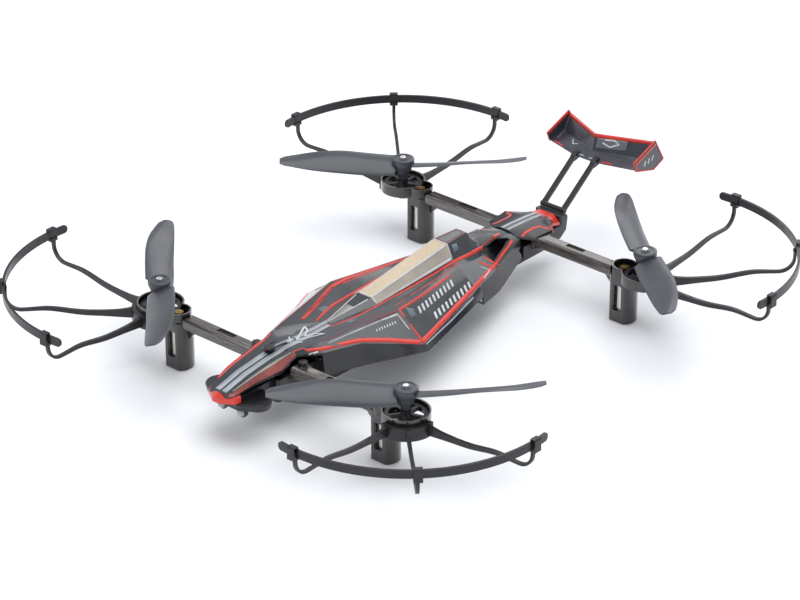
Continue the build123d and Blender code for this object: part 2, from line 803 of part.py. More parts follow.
with BuildPart() as battery_door:
    with BuildSketch(at(0, (bay_front + bay_rear) / 2, door_foot)):
        RectangleRounded(2 * door_half, bay_rear - bay_front, 1)
    extrude(amount=door_thick)
    # thumb grip: a row of ridges on the underside
    for row in range(5):
        with BuildSketch(at(0, bay_rear - 6 - 2.2 * row, door_foot - ridge_height)):
            Rectangle(12, 0.9)
        extrude(amount=ridge_height)
battery_door.part.label = "battery_door"
export_step(battery_door.part, "parts/battery_door.step")

# ---------------------------------------------------------------- battery, board and switch

battery_half = 9.6
battery_foot = tray_floor + 0.6
battery_top = bridge_foot

with BuildPart() as battery:
    with BuildSketch(at(0, (bay_front + bay_rear) / 2, battery_foot)):
        RectangleRounded(2 * battery_half, bay_rear - bay_front - 5, 1.5)
    extrude(amount=battery_top - battery_foot)
    fillet(battery.edges().filter_by(Axis.Y).group_by(Axis.Z)[-1], 1.5)
battery.part.label = "battery"
export_step(battery.part, "parts/battery.step")

board_z = 21.4
board_thick = 1.2
board_middle = -51.0
board_length = 42.0

with BuildPart() as circuit_board:
    with BuildSketch(at(0, board_middle, board_z)):
        Rectangle(19.6, board_length)
    extrude(amount=board_thick)
    # its chips and connectors, and the four pegs that it stands on
    with BuildSketch(at(0, board_middle, board_z + board_thick)):
        with Locations((-3, 8), (4, -4), (-4, -14)):
            Rectangle(7, 7)
        with Locations((6, 12), (6, 16)):
            Rectangle(4, 2)
    extrude(amount=1.1)
    with BuildSketch(at(0, board_middle, tray_floor + tray_wall)):
        with Locations((-7.5, 18), (7.5, 18), (-7.5, -8), (7.5, -8)):
            Circle(1.4)
    extrude(amount=board_z - tray_floor - tray_wall)
circuit_board.part.label = "circuit_board"
export_step(circuit_board.part, "parts/circuit_board.step")

slot_width = 2.8
slot_length = 7.2

with BuildPart() as switch_body:
    with BuildSketch(at(0, switch_y, tray_floor + tray_wall)):
        Rectangle(6.4, 12)
    extrude(amount=4.6)
    with BuildSketch(at(0, switch_y, tray_floor + tray_wall - 1)):
        Rectangle(slot_width, slot_length)
    extrude(amount=3.4, mode=Mode.SUBTRACT)
switch_body.part.label = "switch_body"
export_step(switch_body.part, "parts/switch_body.step")

switch_travel = 2.6
slider_width = 2.2
slider_length = 4.0

with BuildPart() as power_switch:
    with BuildSketch(at(0, switch_y - switch_travel / 2, tray_floor - 1.2)):
        Rectangle(slider_width, slider_length)
    extrude(amount=4.6)
    chamfer(power_switch.edges().group_by(Axis.Z)[0], 0.3)
power_switch.part.label = "power_switch"
export_step(power_switch.part, "parts/power_switch.step")

antenna_x = 6.5
antenna_r = 0.6
with BuildPart() as antenna:
    with BuildSketch(Plane(origin=(antenna_x, -32.0, board_z + board_thick + antenna_r), z_dir=(0, 1, 0))):
        Circle(antenna_r)
    extrude(amount=52)
antenna.part.label = "antenna"
export_step(antenna.part, "parts/antenna.step")

# ---------------------------------------------------------------- nose fittings

bumper_top = 23.1
bumper_front = -128.6
bumper_taper = 14
ear_x = 19.2

with BuildPart() as front_bumper:
    with BuildSketch(Plane(origin=(0, 0, bumper_top - 0.7), x_dir=(1, 0, 0), z_dir=(0, 0, 1))):
        with BuildLine():
            chin = Polyline((0, bumper_front), (8.6, bumper_front), (16.6, -123.8))
            ear = ThreePointArc(chin @ 1, (ear_x, -118.0), (15.6, -112.0))
            Polyline(ear @ 1, (9.0, -110.0), (0, -110.0))
            mirror(about=Plane.YZ)
        make_face()
    extrude(amount=-(bumper_top - 0.7 - beam_foot), taper=bumper_taper)
    extrude(front_bumper.faces().sort_by(Axis.Z)[-1], amount=0.7, taper=2 * bumper_taper)
    with BuildSketch(at(0, beam_front + 20, beam_foot - 1)):
        Rectangle(2 * beam_half, 40)
    extrude(amount=10, mode=Mode.SUBTRACT)
front_bumper.part.label = "front_bumper"
export_step(front_bumper.part, "parts/front_bumper.step")

lamp_x = 6.3
lamp_y = -120.6
lamp_r = 2.4
lamp_z = beam_foot - lamp_r

with BuildPart() as head_lamps:
    for side in (-1, 1):
        with BuildSketch(Plane(origin=(side * lamp_x, lamp_y + 5, lamp_z), z_dir=(0, -1, 0))):
            Circle(lamp_r)
        extrude(amount=5)
        with BuildSketch(at(side * lamp_x, lamp_y + 2.5, lamp_z)):
            Rectangle(3.0, 5.0)
        extrude(amount=lamp_r)
        with Locations((side * lamp_x, lamp_y, lamp_z)):
            Sphere(lamp_r)
head_lamps.part.label = "head_lamps"
export_step(head_lamps.part, "parts/head_lamps.step")

# The post that holds the shell's nose down.
post_head_z = 36.0

with BuildPart() as body_post:
    with BuildSketch(at(0, post_y, tray_top)):
        Circle(post_r)
    extrude(amount=post_head_z - tray_top)
    with BuildSketch(at(0, post_y, post_head_z)):
        Circle(2.6)
    extrude(amount=1.8)
    fillet(body_post.edges().group_by(Axis.Z)[-1], 0.5)
body_post.part.label = "body_post"
export_step(body_post.part, "parts/body_post.step")

with BuildPart() as arm_knobs:
    for side in (-1, 1):
        with BuildSketch(at(side * knob_x, -rotor_y, knob_seat_z)):
            RegularPolygon(2.5, 6)
        extrude(amount=1.9)
    fillet(arm_knobs.edges().group_by(Axis.Z)[-1], 0.4)
arm_knobs.part.label = "arm_knobs"
export_step(arm_knobs.part, "parts/arm_knobs.step")

# ---------------------------------------------------------------- tail cover and tail block

# Half outlines across the cover, from its rim over the shoulder and the ridge's edge to the centre.
tail_stations = [
    (76.9, [(8.4, 30.4), (8.2, 31.4), (3.2, 33.0), (1.0, 33.1)]),
    (84.0, [(15.9, 28.6), (15.6, 30.0), (3.4, 32.8), (1.0, 32.9)]),
    (97.0, [(16.4, 28.8), (16.0, 30.2), (3.6, 32.0), (1.0, 32.1)]),
    (103.4, [(10.2, 27.6), (10.0, 29.4), (4.2, 31.2), (1.0, 31.3)]),
    (111.6, [(8.6, 24.9), (8.4, 26.2), (4.6, 29.6), (1.0, 29.7)]),
]
cover_wall = 0.9


def lowered(half):
    """The half outline one wall thickness inside, left open below the rim."""
    (rim_x, rim_z), (low_x, low_z), (high_x, high_z), (top_x, top_z) = half
    return [
        (rim_x - cover_wall, rim_z - 4),
        (low_x - cover_wall, low_z - 0.7 * cover_wall),
        (high_x - 0.3 * cover_wall, high_z - cover_wall),
        (top_x, top_z - cover_wall),
    ]


with BuildPart() as tail_cover:
    loft([hull_section(y, half) for y, half in tail_stations], ruled=True)
    loft([hull_section(y, lowered(half)) for y, half in tail_stations], ruled=True, mode=Mode.SUBTRACT)
    # arches over the roots of the rear arms
    for side in (-1, 1):
        with BuildSketch(side_plane(side * arm_root)):
            with Locations((rotor_y, arm_mid_z)):
                Rectangle(root_width + 0.8, root_height + 0.8)
        extrude(amount=side * 10, mode=Mode.SUBTRACT)
tail_cover.part.label = "tail_cover"
export_step(tail_cover.part, "parts/tail_cover.step")

block_rear = 118.2
block_half = 8.6

with BuildPart() as tail_block:
    with BuildSketch(side_plane(0)):
        Polygon(
            (tray_rear, 15.6),
            (112.5, 16.6),
            (117.2, 20.0),
            (block_rear, 27.0),
            (block_rear - 0.6, 28.8),
            (112.2, 29.2),
            (112.2, 24.4),
            (tray_rear, 24.4),
            align=None,
        )
    extrude(amount=block_half, both=True)
    chamfer(tail_block.edges().filter_by(Axis.Z), 0.8)
tail_block.part.label = "tail_block"
export_step(tail_block.part, "parts/tail_block.step")

# ---------------------------------------------------------------- wing

# The wing is a folded sheet: leading edge, fold and trailing edge. Its leading edge runs straight
# across between the stays and sweeps back from there; its trailing edge is one wide V.
wing_half = 28.0
wing_skin = 0.9
wing_knee = 7.8
wing_centre = [(141.6, 49.0), (148.4, 51.2), (150.7, 60.3)]
wing_mid = [(142.0, 49.0), (151.2, 51.15), (154.5, 60.1)]
wing_tip = [(147.2, 49.4), (158.6, 51.0), (164.2, 59.6)]


def wing_section(x, line):
    """The sheet's outline at x: its line, and the same line one skin behind and below."""
    under = [(y + 0.75 * wing_skin, z - 0.9 * wing_skin) for y, z in reversed(line)]
    with BuildSketch(side_plane(x)) as section:
        Polygon(*line, *under, align=None)
    return section.sketch


with BuildPart() as wing:
    loft([wing_section(0, wing_centre), wing_section(wing_knee, wing_mid)], ruled=True)
    loft([wing_section(wing_knee, wing_mid), wing_section(wing_half, wing_tip)], ruled=True)
    loft([wing_section(-wing_knee, wing_mid), wing_section(0, wing_centre)], ruled=True)
    loft([wing_section(-wing_half, wing_tip), wing_section(-wing_knee, wing_mid)], ruled=True)
wing.part.label = "wing"
export_step(wing.part, "parts/wing.step")

stay_x = 6.4
bar_y = 116.8
bar_z = 30.5
bar_r = 1.3
stay_top_y = 140.6
stay_top_z = 48.2
stay_width = 2.8
stay_thick = 1.4
clip_reach = 144.6

with BuildPart() as wing_stays:
    with BuildSketch(Plane(origin=(-stay_x - 1.4, bar_y, bar_z), x_dir=(0, 1, 0), z_dir=(1, 0, 0))):
        Circle(bar_r)
    extrude(amount=2 * stay_x + 2.8)
    for side in (-1, 1):
        run = Vector(0, stay_top_y - bar_y, stay_top_z - bar_z)
        with BuildSketch(Plane(origin=(side * stay_x, bar_y, bar_z), x_dir=(1, 0, 0), z_dir=run)):
            Rectangle(stay_width, stay_thick)
        extrude(amount=run.length)
        # the jaw that clasps the wing's leading edge
        with BuildSketch(side_plane(side * stay_x)):
            Polygon(
                (139.2, 46.4),
                (139.9, 49.2),
                (141.4, 50.3),
                (clip_reach, 51.0),
                (clip_reach, 47.4),
                (141.4, 46.6),
                align=None,
            )
        extrude(amount=stay_width / 2, both=True)
    add(wing.part, mode=Mode.SUBTRACT)
wing_stays.part.label = "wing_stays"
export_step(wing_stays.part, "parts/wing_stays.step")

plate_thick = 0.9
with BuildPart() as wing_end_plates:
    for side in (-1, 1):
        with BuildSketch(side_plane(side * wing_half)):
            Polygon(
                (146.1, 53.5),
                (164.3, 60.3),
                (172.0, 47.4),
                (163.3, 43.6),
                (148.3, 47.9),
                align=None,
            )
        extrude(amount=side * plate_thick)
wing_end_plates.part.label = "wing_end_plates"
export_step(wing_end_plates.part, "parts/wing_end_plates.step")
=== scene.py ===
"""Looks of the ring-guarded quadcopter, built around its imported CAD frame.

Metres in the row frame: +Z up, the nose points to -Y, the origin is on the floor under the centre of
the four rotor axes. Lengths written in this file are millimetres, turned into metres by MM.
"""

import math

import bmesh
import bpy
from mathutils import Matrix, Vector
from mathutils.bvhtree import BVHTree


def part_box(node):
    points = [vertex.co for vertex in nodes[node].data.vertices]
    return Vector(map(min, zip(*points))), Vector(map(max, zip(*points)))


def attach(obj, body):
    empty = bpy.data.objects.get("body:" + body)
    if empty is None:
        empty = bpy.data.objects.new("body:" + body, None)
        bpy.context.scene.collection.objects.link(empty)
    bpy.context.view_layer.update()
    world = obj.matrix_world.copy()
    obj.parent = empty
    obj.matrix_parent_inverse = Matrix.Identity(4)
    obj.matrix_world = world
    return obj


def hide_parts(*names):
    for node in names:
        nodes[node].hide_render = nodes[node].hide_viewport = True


MM = 0.001
CORNERS = ("front_left", "front_right", "rear_left", "rear_right")
SIDES = (-1, 1)
DOWN = Vector((0, 0, -1))

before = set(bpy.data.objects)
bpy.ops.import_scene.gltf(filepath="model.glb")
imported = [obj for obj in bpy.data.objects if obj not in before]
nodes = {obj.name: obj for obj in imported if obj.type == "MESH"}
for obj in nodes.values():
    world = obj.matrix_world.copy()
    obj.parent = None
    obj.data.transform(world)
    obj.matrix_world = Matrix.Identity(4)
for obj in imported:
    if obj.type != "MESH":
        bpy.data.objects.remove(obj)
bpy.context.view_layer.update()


def middle(node):
    """The centre of a CAD node's box."""
    low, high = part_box(node)
    return (low + high) / 2


# ---------------------------------------------------------------- materials


def linear(value):
    """One 0 to 255 display value as scene-linear light."""
    v = value / 255
    return v / 12.92 if v <= 0.04045 else ((v + 0.055) / 1.055) ** 2.4


def rgb(r, g, b):
    """A display colour, 0 to 255 a channel, as a socket's value."""
    return (linear(r), linear(g), linear(b), 1.0)


class Shader:
    """A material's node tree with the few steps that every finish here is mixed from."""

    def __init__(self, name):
        self.material = bpy.data.materials.new(name)
        self.material.use_nodes = True
        self.tree = self.material.node_tree
        self.bsdf = self.tree.nodes["Principled BSDF"]
        self.place = self.tree.nodes.new("ShaderNodeTexCoord").outputs["Object"]

    def link(self, source, target):
        """Joins an output to an input."""
        self.tree.links.new(source, target)

    def stretched(self, scale):
        """The object's own coordinates, scaled along each axis."""
        mapping = self.tree.nodes.new("ShaderNodeMapping")
        mapping.inputs["Scale"].default_value = scale
        self.link(self.place, mapping.inputs["Vector"])
        return mapping.outputs["Vector"]

    def noise(self, scale, detail, stretch=(1, 1, 1)):
        """Noise from 0 to 1 in the object's own space."""
        node = self.tree.nodes.new("ShaderNodeTexNoise")
        node.inputs["Scale"].default_value = scale
        node.inputs["Detail"].default_value = detail
        self.link(self.stretched(stretch), node.inputs["Vector"])
        return node.outputs["Fac"]

    def ramp(self, fac, stops):
        """Colours mixed by a value, from (position, colour) stops."""
        node = self.tree.nodes.new("ShaderNodeValToRGB")
        ramp = node.color_ramp
        while len(ramp.elements) < len(stops):
            ramp.elements.new(0.5)
        for element, (position, colour) in zip(ramp.elements, stops):
            element.position = position
            element.color = colour
        self.link(fac, node.inputs["Fac"])
        return node.outputs["Color"]

    def span(self, fac, low, high):
        """Noise, which mostly runs from 0.3 to 0.7, brought to run from low to high."""
        node = self.tree.nodes.new("ShaderNodeMapRange")
        node.inputs["From Min"].default_value = 0.3
        node.inputs["From Max"].default_value = 0.7
        node.inputs["To Min"].default_value = low
        node.inputs["To Max"].default_value = high
        self.link(fac, node.inputs["Value"])
        return node.outputs["Result"]

    def bump(self, height, distance):
        """Relief of a distance in metres."""
        node = self.tree.nodes.new("ShaderNodeBump")
        node.inputs["Distance"].default_value = distance
        node.inputs["Strength"].default_value = 0.5
        self.link(height, node.inputs["Height"])
        self.link(node.outputs["Normal"], self.bsdf.inputs["Normal"])

    def set(self, **values):
        """Plain values for the shader's sockets, named with underscores."""
        for name, value in values.items():
            self.bsdf.inputs[name.replace("_", " ")].default_value = value


def moulded(name, dark, light, rough, coat=0.0, grain=900, mottle=60, relief=0.00004):
    """Moulded plastic: a faint cloudy tone, uneven gloss and a fine grain.

    The tone's clouds have the scale of mottle, the grain its own, and relief is the grain's depth in metres.
    """
    s = Shader(name)
    cloud = s.noise(mottle, 5.0)
    s.link(s.ramp(cloud, [(0.3, dark), (0.7, light)]), s.bsdf.inputs["Base Color"])
    s.link(s.span(s.noise(mottle * 3, 6.0), rough * 0.8, rough * 1.25), s.bsdf.inputs["Roughness"])
    s.bump(s.noise(grain, 3.0), relief)
    s.set(Coat_Weight=coat, Coat_Roughness=0.12)
    return s.material


def smoked(name, along, tones, rough, relief):
    """Smoke-brown clear plastic: streaks that run along one axis, partly flow marks and partly painted
    reflection.
    """
    s = Shader(name)
    stretch = tuple(0.06 if axis == along else 1.0 for axis in "XYZ")
    streak = s.noise(620, 6.0, stretch)
    s.link(s.ramp(streak, tones), s.bsdf.inputs["Base Color"])
    s.link(s.span(s.noise(260, 4.0, stretch), rough * 0.6, rough * 1.5), s.bsdf.inputs["Roughness"])
    s.bump(streak, relief)
    s.set(Coat_Weight=0.8, Coat_Roughness=0.08, Specular_IOR_Level=0.6)
    return s.material


def metal(name, dark, light, rough, along="Z"):
    """Drawn or turned metal with fine lines along one axis."""
    s = Shader(name)
    stretch = tuple(0.05 if axis == along else 1.0 for axis in "XYZ")
    lines = s.noise(1500, 5.0, stretch)
    s.link(s.ramp(lines, [(0.3, dark), (0.7, light)]), s.bsdf.inputs["Base Color"])
    s.link(s.span(lines, rough * 0.7, rough * 1.4), s.bsdf.inputs["Roughness"])
    s.bump(lines, 0.00002)
    s.set(Metallic=1.0)
    return s.material


panel = moulded("panel_slate", rgb(32, 35, 40), rgb(46, 49, 55), 0.16, 0.6, 1400, 34, 0.00002)
panel_dark = moulded("panel_dark", rgb(18, 20, 24), rgb(30, 32, 37), 0.3, 0.2, 1400, 40, 0.00002)
skirt = moulded("skirt_dark", rgb(14, 16, 19), rgb(24, 26, 30), 0.26, 0.35, 1200, 50, 0.00003)
inside = moulded("shell_inside", rgb(16, 17, 20), rgb(26, 28, 32), 0.6)
red = moulded("accent_red", rgb(198, 38, 27), rgb(222, 56, 38), 0.32, 0.3, 1200, 70, 0.00002)
rose = moulded("accent_rose", rgb(132, 62, 58), rgb(164, 88, 82), 0.3, 0.4, 1200, 90, 0.00002)
# Painted highlight: a pale grey-green glint on the nose crease, and a painted reflection on the windscreen
# facet.
glint = moulded("painted_glint", rgb(112, 112, 104), rgb(142, 142, 132), 0.14, 0.8, 1500, 90, 0.00002)
# Silver print for the stripes, also used for painted highlights on the creases and along the skirt's edge.
silver = moulded("silver_stripe_and_highlight", rgb(140, 146, 154), rgb(170, 176, 184), 0.34, 0.3, 1800, 160, 0.00001)
# White print, also used for the painted highlights on the canopy's ridges.
white = moulded("print_white_and_highlight", rgb(186, 189, 192), rgb(212, 214, 216), 0.4, 0.2, 1500, 120, 0.00001)
wine = moulded("print_wine", rgb(96, 22, 32), rgb(128, 36, 44), 0.36, 0.3, 1500, 120, 0.00001)
mist = moulded("print_mist", rgb(76, 88, 98), rgb(100, 112, 122), 0.35, 0.3, 1500, 160, 0.00001)
guard_black = moulded("guard_black", rgb(13, 13, 14), rgb(22, 22, 24), 0.36, 0.1, 1600, 90, 0.00003)
rib_black = moulded("rib_black", rgb(18, 18, 19), rgb(30, 30, 32), 0.38, 0.05, 1500, 110, 0.00004)
chassis_black = moulded("chassis_black", rgb(15, 16, 18), rgb(26, 27, 30), 0.36, 0.15, 1300, 90, 0.00004)
block_grey = moulded("block_grey", rgb(36, 38, 41), rgb(50, 52, 55), 0.4, 0.15, 1300, 80, 0.00004)
prop_slate = moulded("prop_slate", rgb(57, 60, 66), rgb(67, 70, 77), 0.32, 0.15, 1800, 30, 0.00002)
gear_black = moulded("gear_black", rgb(30, 30, 33), rgb(46, 46, 49), 0.45, 0.05)
wing_dark = moulded("wing_dark", rgb(38, 41, 50), rgb(56, 59, 69), 0.3, 0.4, 1400, 60, 0.00002)
wing_grey = moulded("wing_grey", rgb(86, 88, 95), rgb(106, 108, 115), 0.3, 0.4, 1400, 70, 0.00002)
lead_black = moulded("lead_black", rgb(24, 24, 26), rgb(38, 38, 40), 0.5)
battery_wrap = moulded("battery_wrap", rgb(38, 58, 104), rgb(54, 76, 128), 0.35, 0.5)
board_green = moulded("board_green", rgb(18, 70, 42), rgb(30, 92, 56), 0.4, 0.4, 2200, 300)
switch_white = moulded("switch_white", rgb(178, 178, 172), rgb(200, 200, 194), 0.45)

ARM_TONES = [
    (0.3, rgb(26, 22, 20)),
    (0.44, rgb(62, 56, 52)),
    (0.52, rgb(96, 89, 84)),
    (0.6, rgb(44, 39, 36)),
    (0.74, rgb(126, 119, 112)),
]
POD_TONES = [
    (0.3, rgb(12, 10, 9)),
    (0.5, rgb(22, 18, 17)),
    (0.62, rgb(38, 33, 31)),
    (0.8, rgb(16, 14, 13)),
]
smoke_arm = smoked("smoke_arm", "X", ARM_TONES, 0.2, 0.00006)
smoke_pod = smoked("smoke_pod", "Z", POD_TONES, 0.16, 0.00003)
motor_steel = metal("motor_steel", rgb(168, 166, 162), rgb(226, 224, 220), 0.24)
shaft_steel = metal("shaft_steel", rgb(206, 206, 208), rgb(244, 244, 246), 0.2)
brass = metal("brass", rgb(166, 134, 76), rgb(208, 178, 112), 0.3)


def window_finish():
    """Cream canopy plastic, a little cloudy along its length."""
    s = Shader("window_cream")
    tone = s.noise(42, 4.0, (1, 0.35, 1))
    cream = s.ramp(tone, [(0.3, rgb(190, 173, 146)), (0.55, rgb(210, 193, 165)), (0.8, rgb(184, 175, 158))])
    s.link(cream, s.bsdf.inputs["Base Color"])
    s.link(s.span(s.noise(160, 4.0), 0.22, 0.34), s.bsdf.inputs["Roughness"])
    s.bump(s.noise(1500, 2.0), 0.00002)
    s.set(Coat_Weight=0.5, Coat_Roughness=0.1)
    return s.material


def lens_finish():
    """Clear lamp plastic with fine ripples."""
    s = Shader("lens_clear")
    ripple = s.noise(1400, 3.0)
    glassy = [(0.3, rgb(196, 200, 204)), (0.7, rgb(236, 239, 242))]
    s.link(s.ramp(ripple, glassy), s.bsdf.inputs["Base Color"])
    s.link(s.span(ripple, 0.05, 0.18), s.bsdf.inputs["Roughness"])
    s.bump(ripple, 0.00004)
    s.set(Transmission_Weight=0.55, Coat_Weight=1.0)
    return s.material


window_cream = window_finish()
# Painted shade: a darker copy of the window's cream for its right-hand faces.
window_painted_shade = moulded("window_painted_shade", rgb(150, 144, 132), rgb(186, 180, 166), 0.2, 0.7, 1500, 60, 0.00002)
lens_clear = lens_finish()

# ---------------------------------------------------------------- mesh helpers

# How near vertices are welded, the shortest edge that is kept, how far a cast line goes, and the steps
# of a rounded edge and the angle from which an edge is rounded.
WELD_REACH = 0.002
SLIVER_EDGE = 0.0005
RAY_LENGTH = 200
BEVEL_SEGMENTS = 2
BEVEL_ANGLE = 28


def add_object(name, data, body):
    """Links a mesh or a curve to the scene and rides it on its body."""
    obj = bpy.data.objects.new(name, data)
    bpy.context.scene.collection.objects.link(obj)
    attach(obj, body)
    return obj


def bevelled(obj, width):
    """Rounds the piece's hard edges, so that they catch the light as moulded edges do."""
    bevel = obj.modifiers.new("edge", "BEVEL")
    bevel.width = width * MM
    bevel.segments = BEVEL_SEGMENTS
    bevel.limit_method = "ANGLE"
    bevel.angle_limit = math.radians(BEVEL_ANGLE)
    bevel.use_clamp_overlap = True
    bevel.harden_normals = True


def finish_mesh(bm, name, materials, sharp):
    """Makes a mesh with smooth faces that break at edges sharper than the angle."""
    for face in bm.faces:
        face.smooth = True
    for edge in bm.edges:
        edge.smooth = edge.calc_face_angle(math.pi) < math.radians(sharp)
    mesh = bpy.data.meshes.new(name)
    bm.to_mesh(mesh)
    bm.free()
    for material in materials:
        mesh.materials.append(material)
    return mesh


def welded(node, flat):
    """The node's shape as one welded mesh, faces within the flat angle of each other joined."""
    bm = bmesh.new()
    bm.from_mesh(nodes[node].data)
    bmesh.ops.remove_doubles(bm, verts=bm.verts, dist=WELD_REACH * MM)
    bmesh.ops.dissolve_degenerate(bm, edges=bm.edges, dist=SLIVER_EDGE * MM)
    bmesh.ops.dissolve_limit(bm, angle_limit=math.radians(flat), verts=bm.verts, edges=bm.edges)
    bmesh.ops.recalc_face_normals(bm, faces=bm.faces)
    return bm


def refined(node, piece, slot, materials, bevel, body="root", pick=None, flat=0.6, sharp=35, slim=0):
    """The node's shape again, with rounded edges and a material picked for each face.

    Angles are in degrees: faces within flat of each other are joined, and edges over sharp stay crisp.
    Slim is what each side loses.
    """
    bm = welded(node, flat)
    if slim:
        bm.normal_update()
        for vert in bm.verts:
            vert.co -= vert.normal * slim * MM
    if pick:
        for face in bm.faces:
            face.material_index = pick(face.calc_center_median() / MM, face.normal)
    obj = add_object(piece, finish_mesh(bm, piece, materials, sharp), body)
    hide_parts(node)
    bevelled(obj, bevel)


def repaint(node, material):
    """Gives a CAD node that stays its finish."""
    obj = nodes[node]
    if not obj.data.materials:
        obj.data.materials.append(material)
    for slot_entry in obj.material_slots:
        slot_entry.link = "OBJECT"
        slot_entry.material = material


def surface_of(*names):
    """What a print is cast on: the outer surfaces of these nodes."""
    verts = []
    faces = []
    for name in names:
        mesh = nodes[name].data
        start = len(verts)
        verts.extend(v.co.copy() for v in mesh.vertices)
        faces.extend([start + i for i in p.vertices] for p in mesh.polygons)
    return BVHTree.FromPolygons(verts, faces)


def cast(surface, point, aim, reach):
    """Where a line along the aim, begun that reach before the point, first meets the surface."""
    start = point - aim * reach * MM
    hit, normal, _, _ = surface.ray_cast(start, aim, RAY_LENGTH * MM)
    if hit is None:
        return None
    return hit, (-normal if normal.dot(aim) > 0 else normal)


def spaced(stations, step):
    """(point, width) pairs along the line through the stations, no further apart than the step."""
    pairs = []
    for (start, width), (end, next_width) in zip(stations, stations[1:]):
        count = max(1, math.ceil((end - start).length / step))
        for i in range(count):
            pairs.append((start.lerp(end, i / count), width + (next_width - width) * i / count))
    pairs.append(stations[-1])
    return pairs


# A print's height over its surface, its thickness, the gap between its rows, and the longest edge that
# it may have: a longer one would bridge a step in the surface.
PRINT_LIFT = 0.05
PRINT_THICK = 0.12
PRINT_ROWS = 0.9
PRINT_STEP = 2.6
# Where a ribbon is cast on the surface, across its width: both edges and the middle.
RIBBON_PLACES = (-0.5, 0.0, 0.5)


class Print:
    """Raised prints of one finish, cast on a surface and gathered into one mesh."""

    def __init__(self, surface, reach=60, lift=PRINT_LIFT):
        self.surface = surface
        self.reach = reach
        self.lift = lift
        self.verts = []
        self.faces = []

    def grid(self, rows, aim):
        """Adds a sheet cast from rows of points, leaving out what misses the surface."""
        index = {}
        for i, row in enumerate(rows):
            for j, point in enumerate(row):
                found = cast(self.surface, point, aim, self.reach)
                if found:
                    index[i, j] = len(self.verts)
                    self.verts.append(found[0] + found[1] * self.lift * MM)
        for i in range(len(rows) - 1):
            for j in range(len(rows[0]) - 1):
                corners = [(i, j), (i + 1, j), (i + 1, j + 1), (i, j + 1)]
                if not all(c in index for c in corners):
                    continue
                face = [index[c] for c in corners]
                around = zip(face, face[1:] + face[:1])
                if max((self.verts[a] - self.verts[b]).length for a, b in around) < PRINT_STEP * MM:
                    self.faces.append(face)

    def ribbon(self, points, width, aim=DOWN):
        """A band along the points, with one width or a width for each point."""
        widths = width if isinstance(width, (list, tuple)) else [width] * len(points)
        line = spaced([(Vector(p) * MM, w) for p, w in zip(points, widths)], PRINT_ROWS * MM)
        rows = []
        for i, (point, w) in enumerate(line):
            ahead = line[min(i + 1, len(line) - 1)][0] - line[max(i - 1, 0)][0]
            side = aim.cross(ahead).normalized() * w * MM
            rows.append([point + side * place for place in RIBBON_PLACES])
        self.grid(rows, aim)

    def patch(self, corners, aim=DOWN, step=1.0):
        """A four-cornered area, its corners given in order."""
        a, b, c, d = (Vector(p) * MM for p in corners)
        along = max(2, math.ceil((b - a).length / (step * MM)))
        over = max(2, math.ceil((d - a).length / (step * MM)))
        rows = [
            [a.lerp(b, i / along).lerp(d.lerp(c, i / along), j / over) for j in range(over + 1)]
            for i in range(along + 1)
        ]
        self.grid(rows, aim)

    def piece(self, name, material, slot):
        """Makes one object of everything printed, with its faces turned up."""
        mesh = bpy.data.meshes.new(name)
        mesh.from_pydata([tuple(v) for v in self.verts], [], self.faces)
        bm = bmesh.new()
        bm.from_mesh(mesh)
        bmesh.ops.recalc_face_normals(bm, faces=bm.faces)
        up = sum(f.normal.z * f.calc_area() for f in bm.faces)
        if up < 0:
            bmesh.ops.reverse_faces(bm, faces=bm.faces)
        for face in bm.faces:
            face.smooth = True
        bm.to_mesh(mesh)
        bm.free()
        mesh.materials.append(material)
        sheet = add_object(name, mesh, "root").modifiers.new("thickness", "SOLIDIFY")
        sheet.thickness = PRINT_THICK * MM
        sheet.offset = -1.0


# The steps round a turned piece, and the angle from which its edges stay crisp.
LATHE_STEPS = 48
LATHE_SHARP = 40


def lathe(name, profile, centre, axis, material, body):
    """A turned piece: (radius, height) pairs swept about the axis."""
    bm = bmesh.new()
    turn = Vector(axis).normalized()
    across = turn.orthogonal().normalized()
    over = turn.cross(across)
    rings = []
    for radius, height in profile:
        ring = []
        for i in range(LATHE_STEPS):
            a = 2 * math.pi * i / LATHE_STEPS
            spoke = across * math.cos(a) + over * math.sin(a)
            ring.append(bm.verts.new(centre + (spoke * radius + turn * height) * MM))
        rings.append(ring)
    for lower, upper in zip(rings, rings[1:]):
        for i in range(LATHE_STEPS):
            j = (i + 1) % LATHE_STEPS
            bm.faces.new((lower[i], lower[j], upper[j], upper[i]))
    bm.faces.new(rings[0][::-1])
    bm.faces.new(rings[-1])
    bmesh.ops.recalc_face_normals(bm, faces=bm.faces)
    add_object(name, finish_mesh(bm, name, [material], LATHE_SHARP), body)


def wire(name, points, radius, material):
    """A round wire bent towards the points."""
    curve = bpy.data.curves.new(name, "CURVE")
    curve.dimensions = "3D"
    curve.bevel_depth = radius * MM
    curve.bevel_resolution = 4
    curve.resolution_u = 8
    curve.use_fill_caps = True
    spline = curve.splines.new("NURBS")
    spline.points.add(len(points) - 1)
    for target, point in zip(spline.points, points):
        target.co = (*(Vector(point) * MM), 1)
    spline.order_u = 3
    spline.use_endpoint_u = True
    curve.materials.append(material)
    add_object(name, curve, "root")


# ---------------------------------------------------------------- body shell

# The folded sheets: faces within the first angle are one facet, and edges over the second stay crisp.
FACETED = {"flat": 1.5, "sharp": 12}
# The height that the hollow's faces look towards, the place where the nose begins, the place from which
# the rear is all skirt, and how far a face's normal leans where it is an end wall or a side wall.
HOLLOW_HEIGHT = 22
NOSE_END = -90.5
REAR_SKIRT = 50
END_WALL = 0.9
SIDE_WALL = 0.36
SHELL = [panel, skirt, inside, rose]


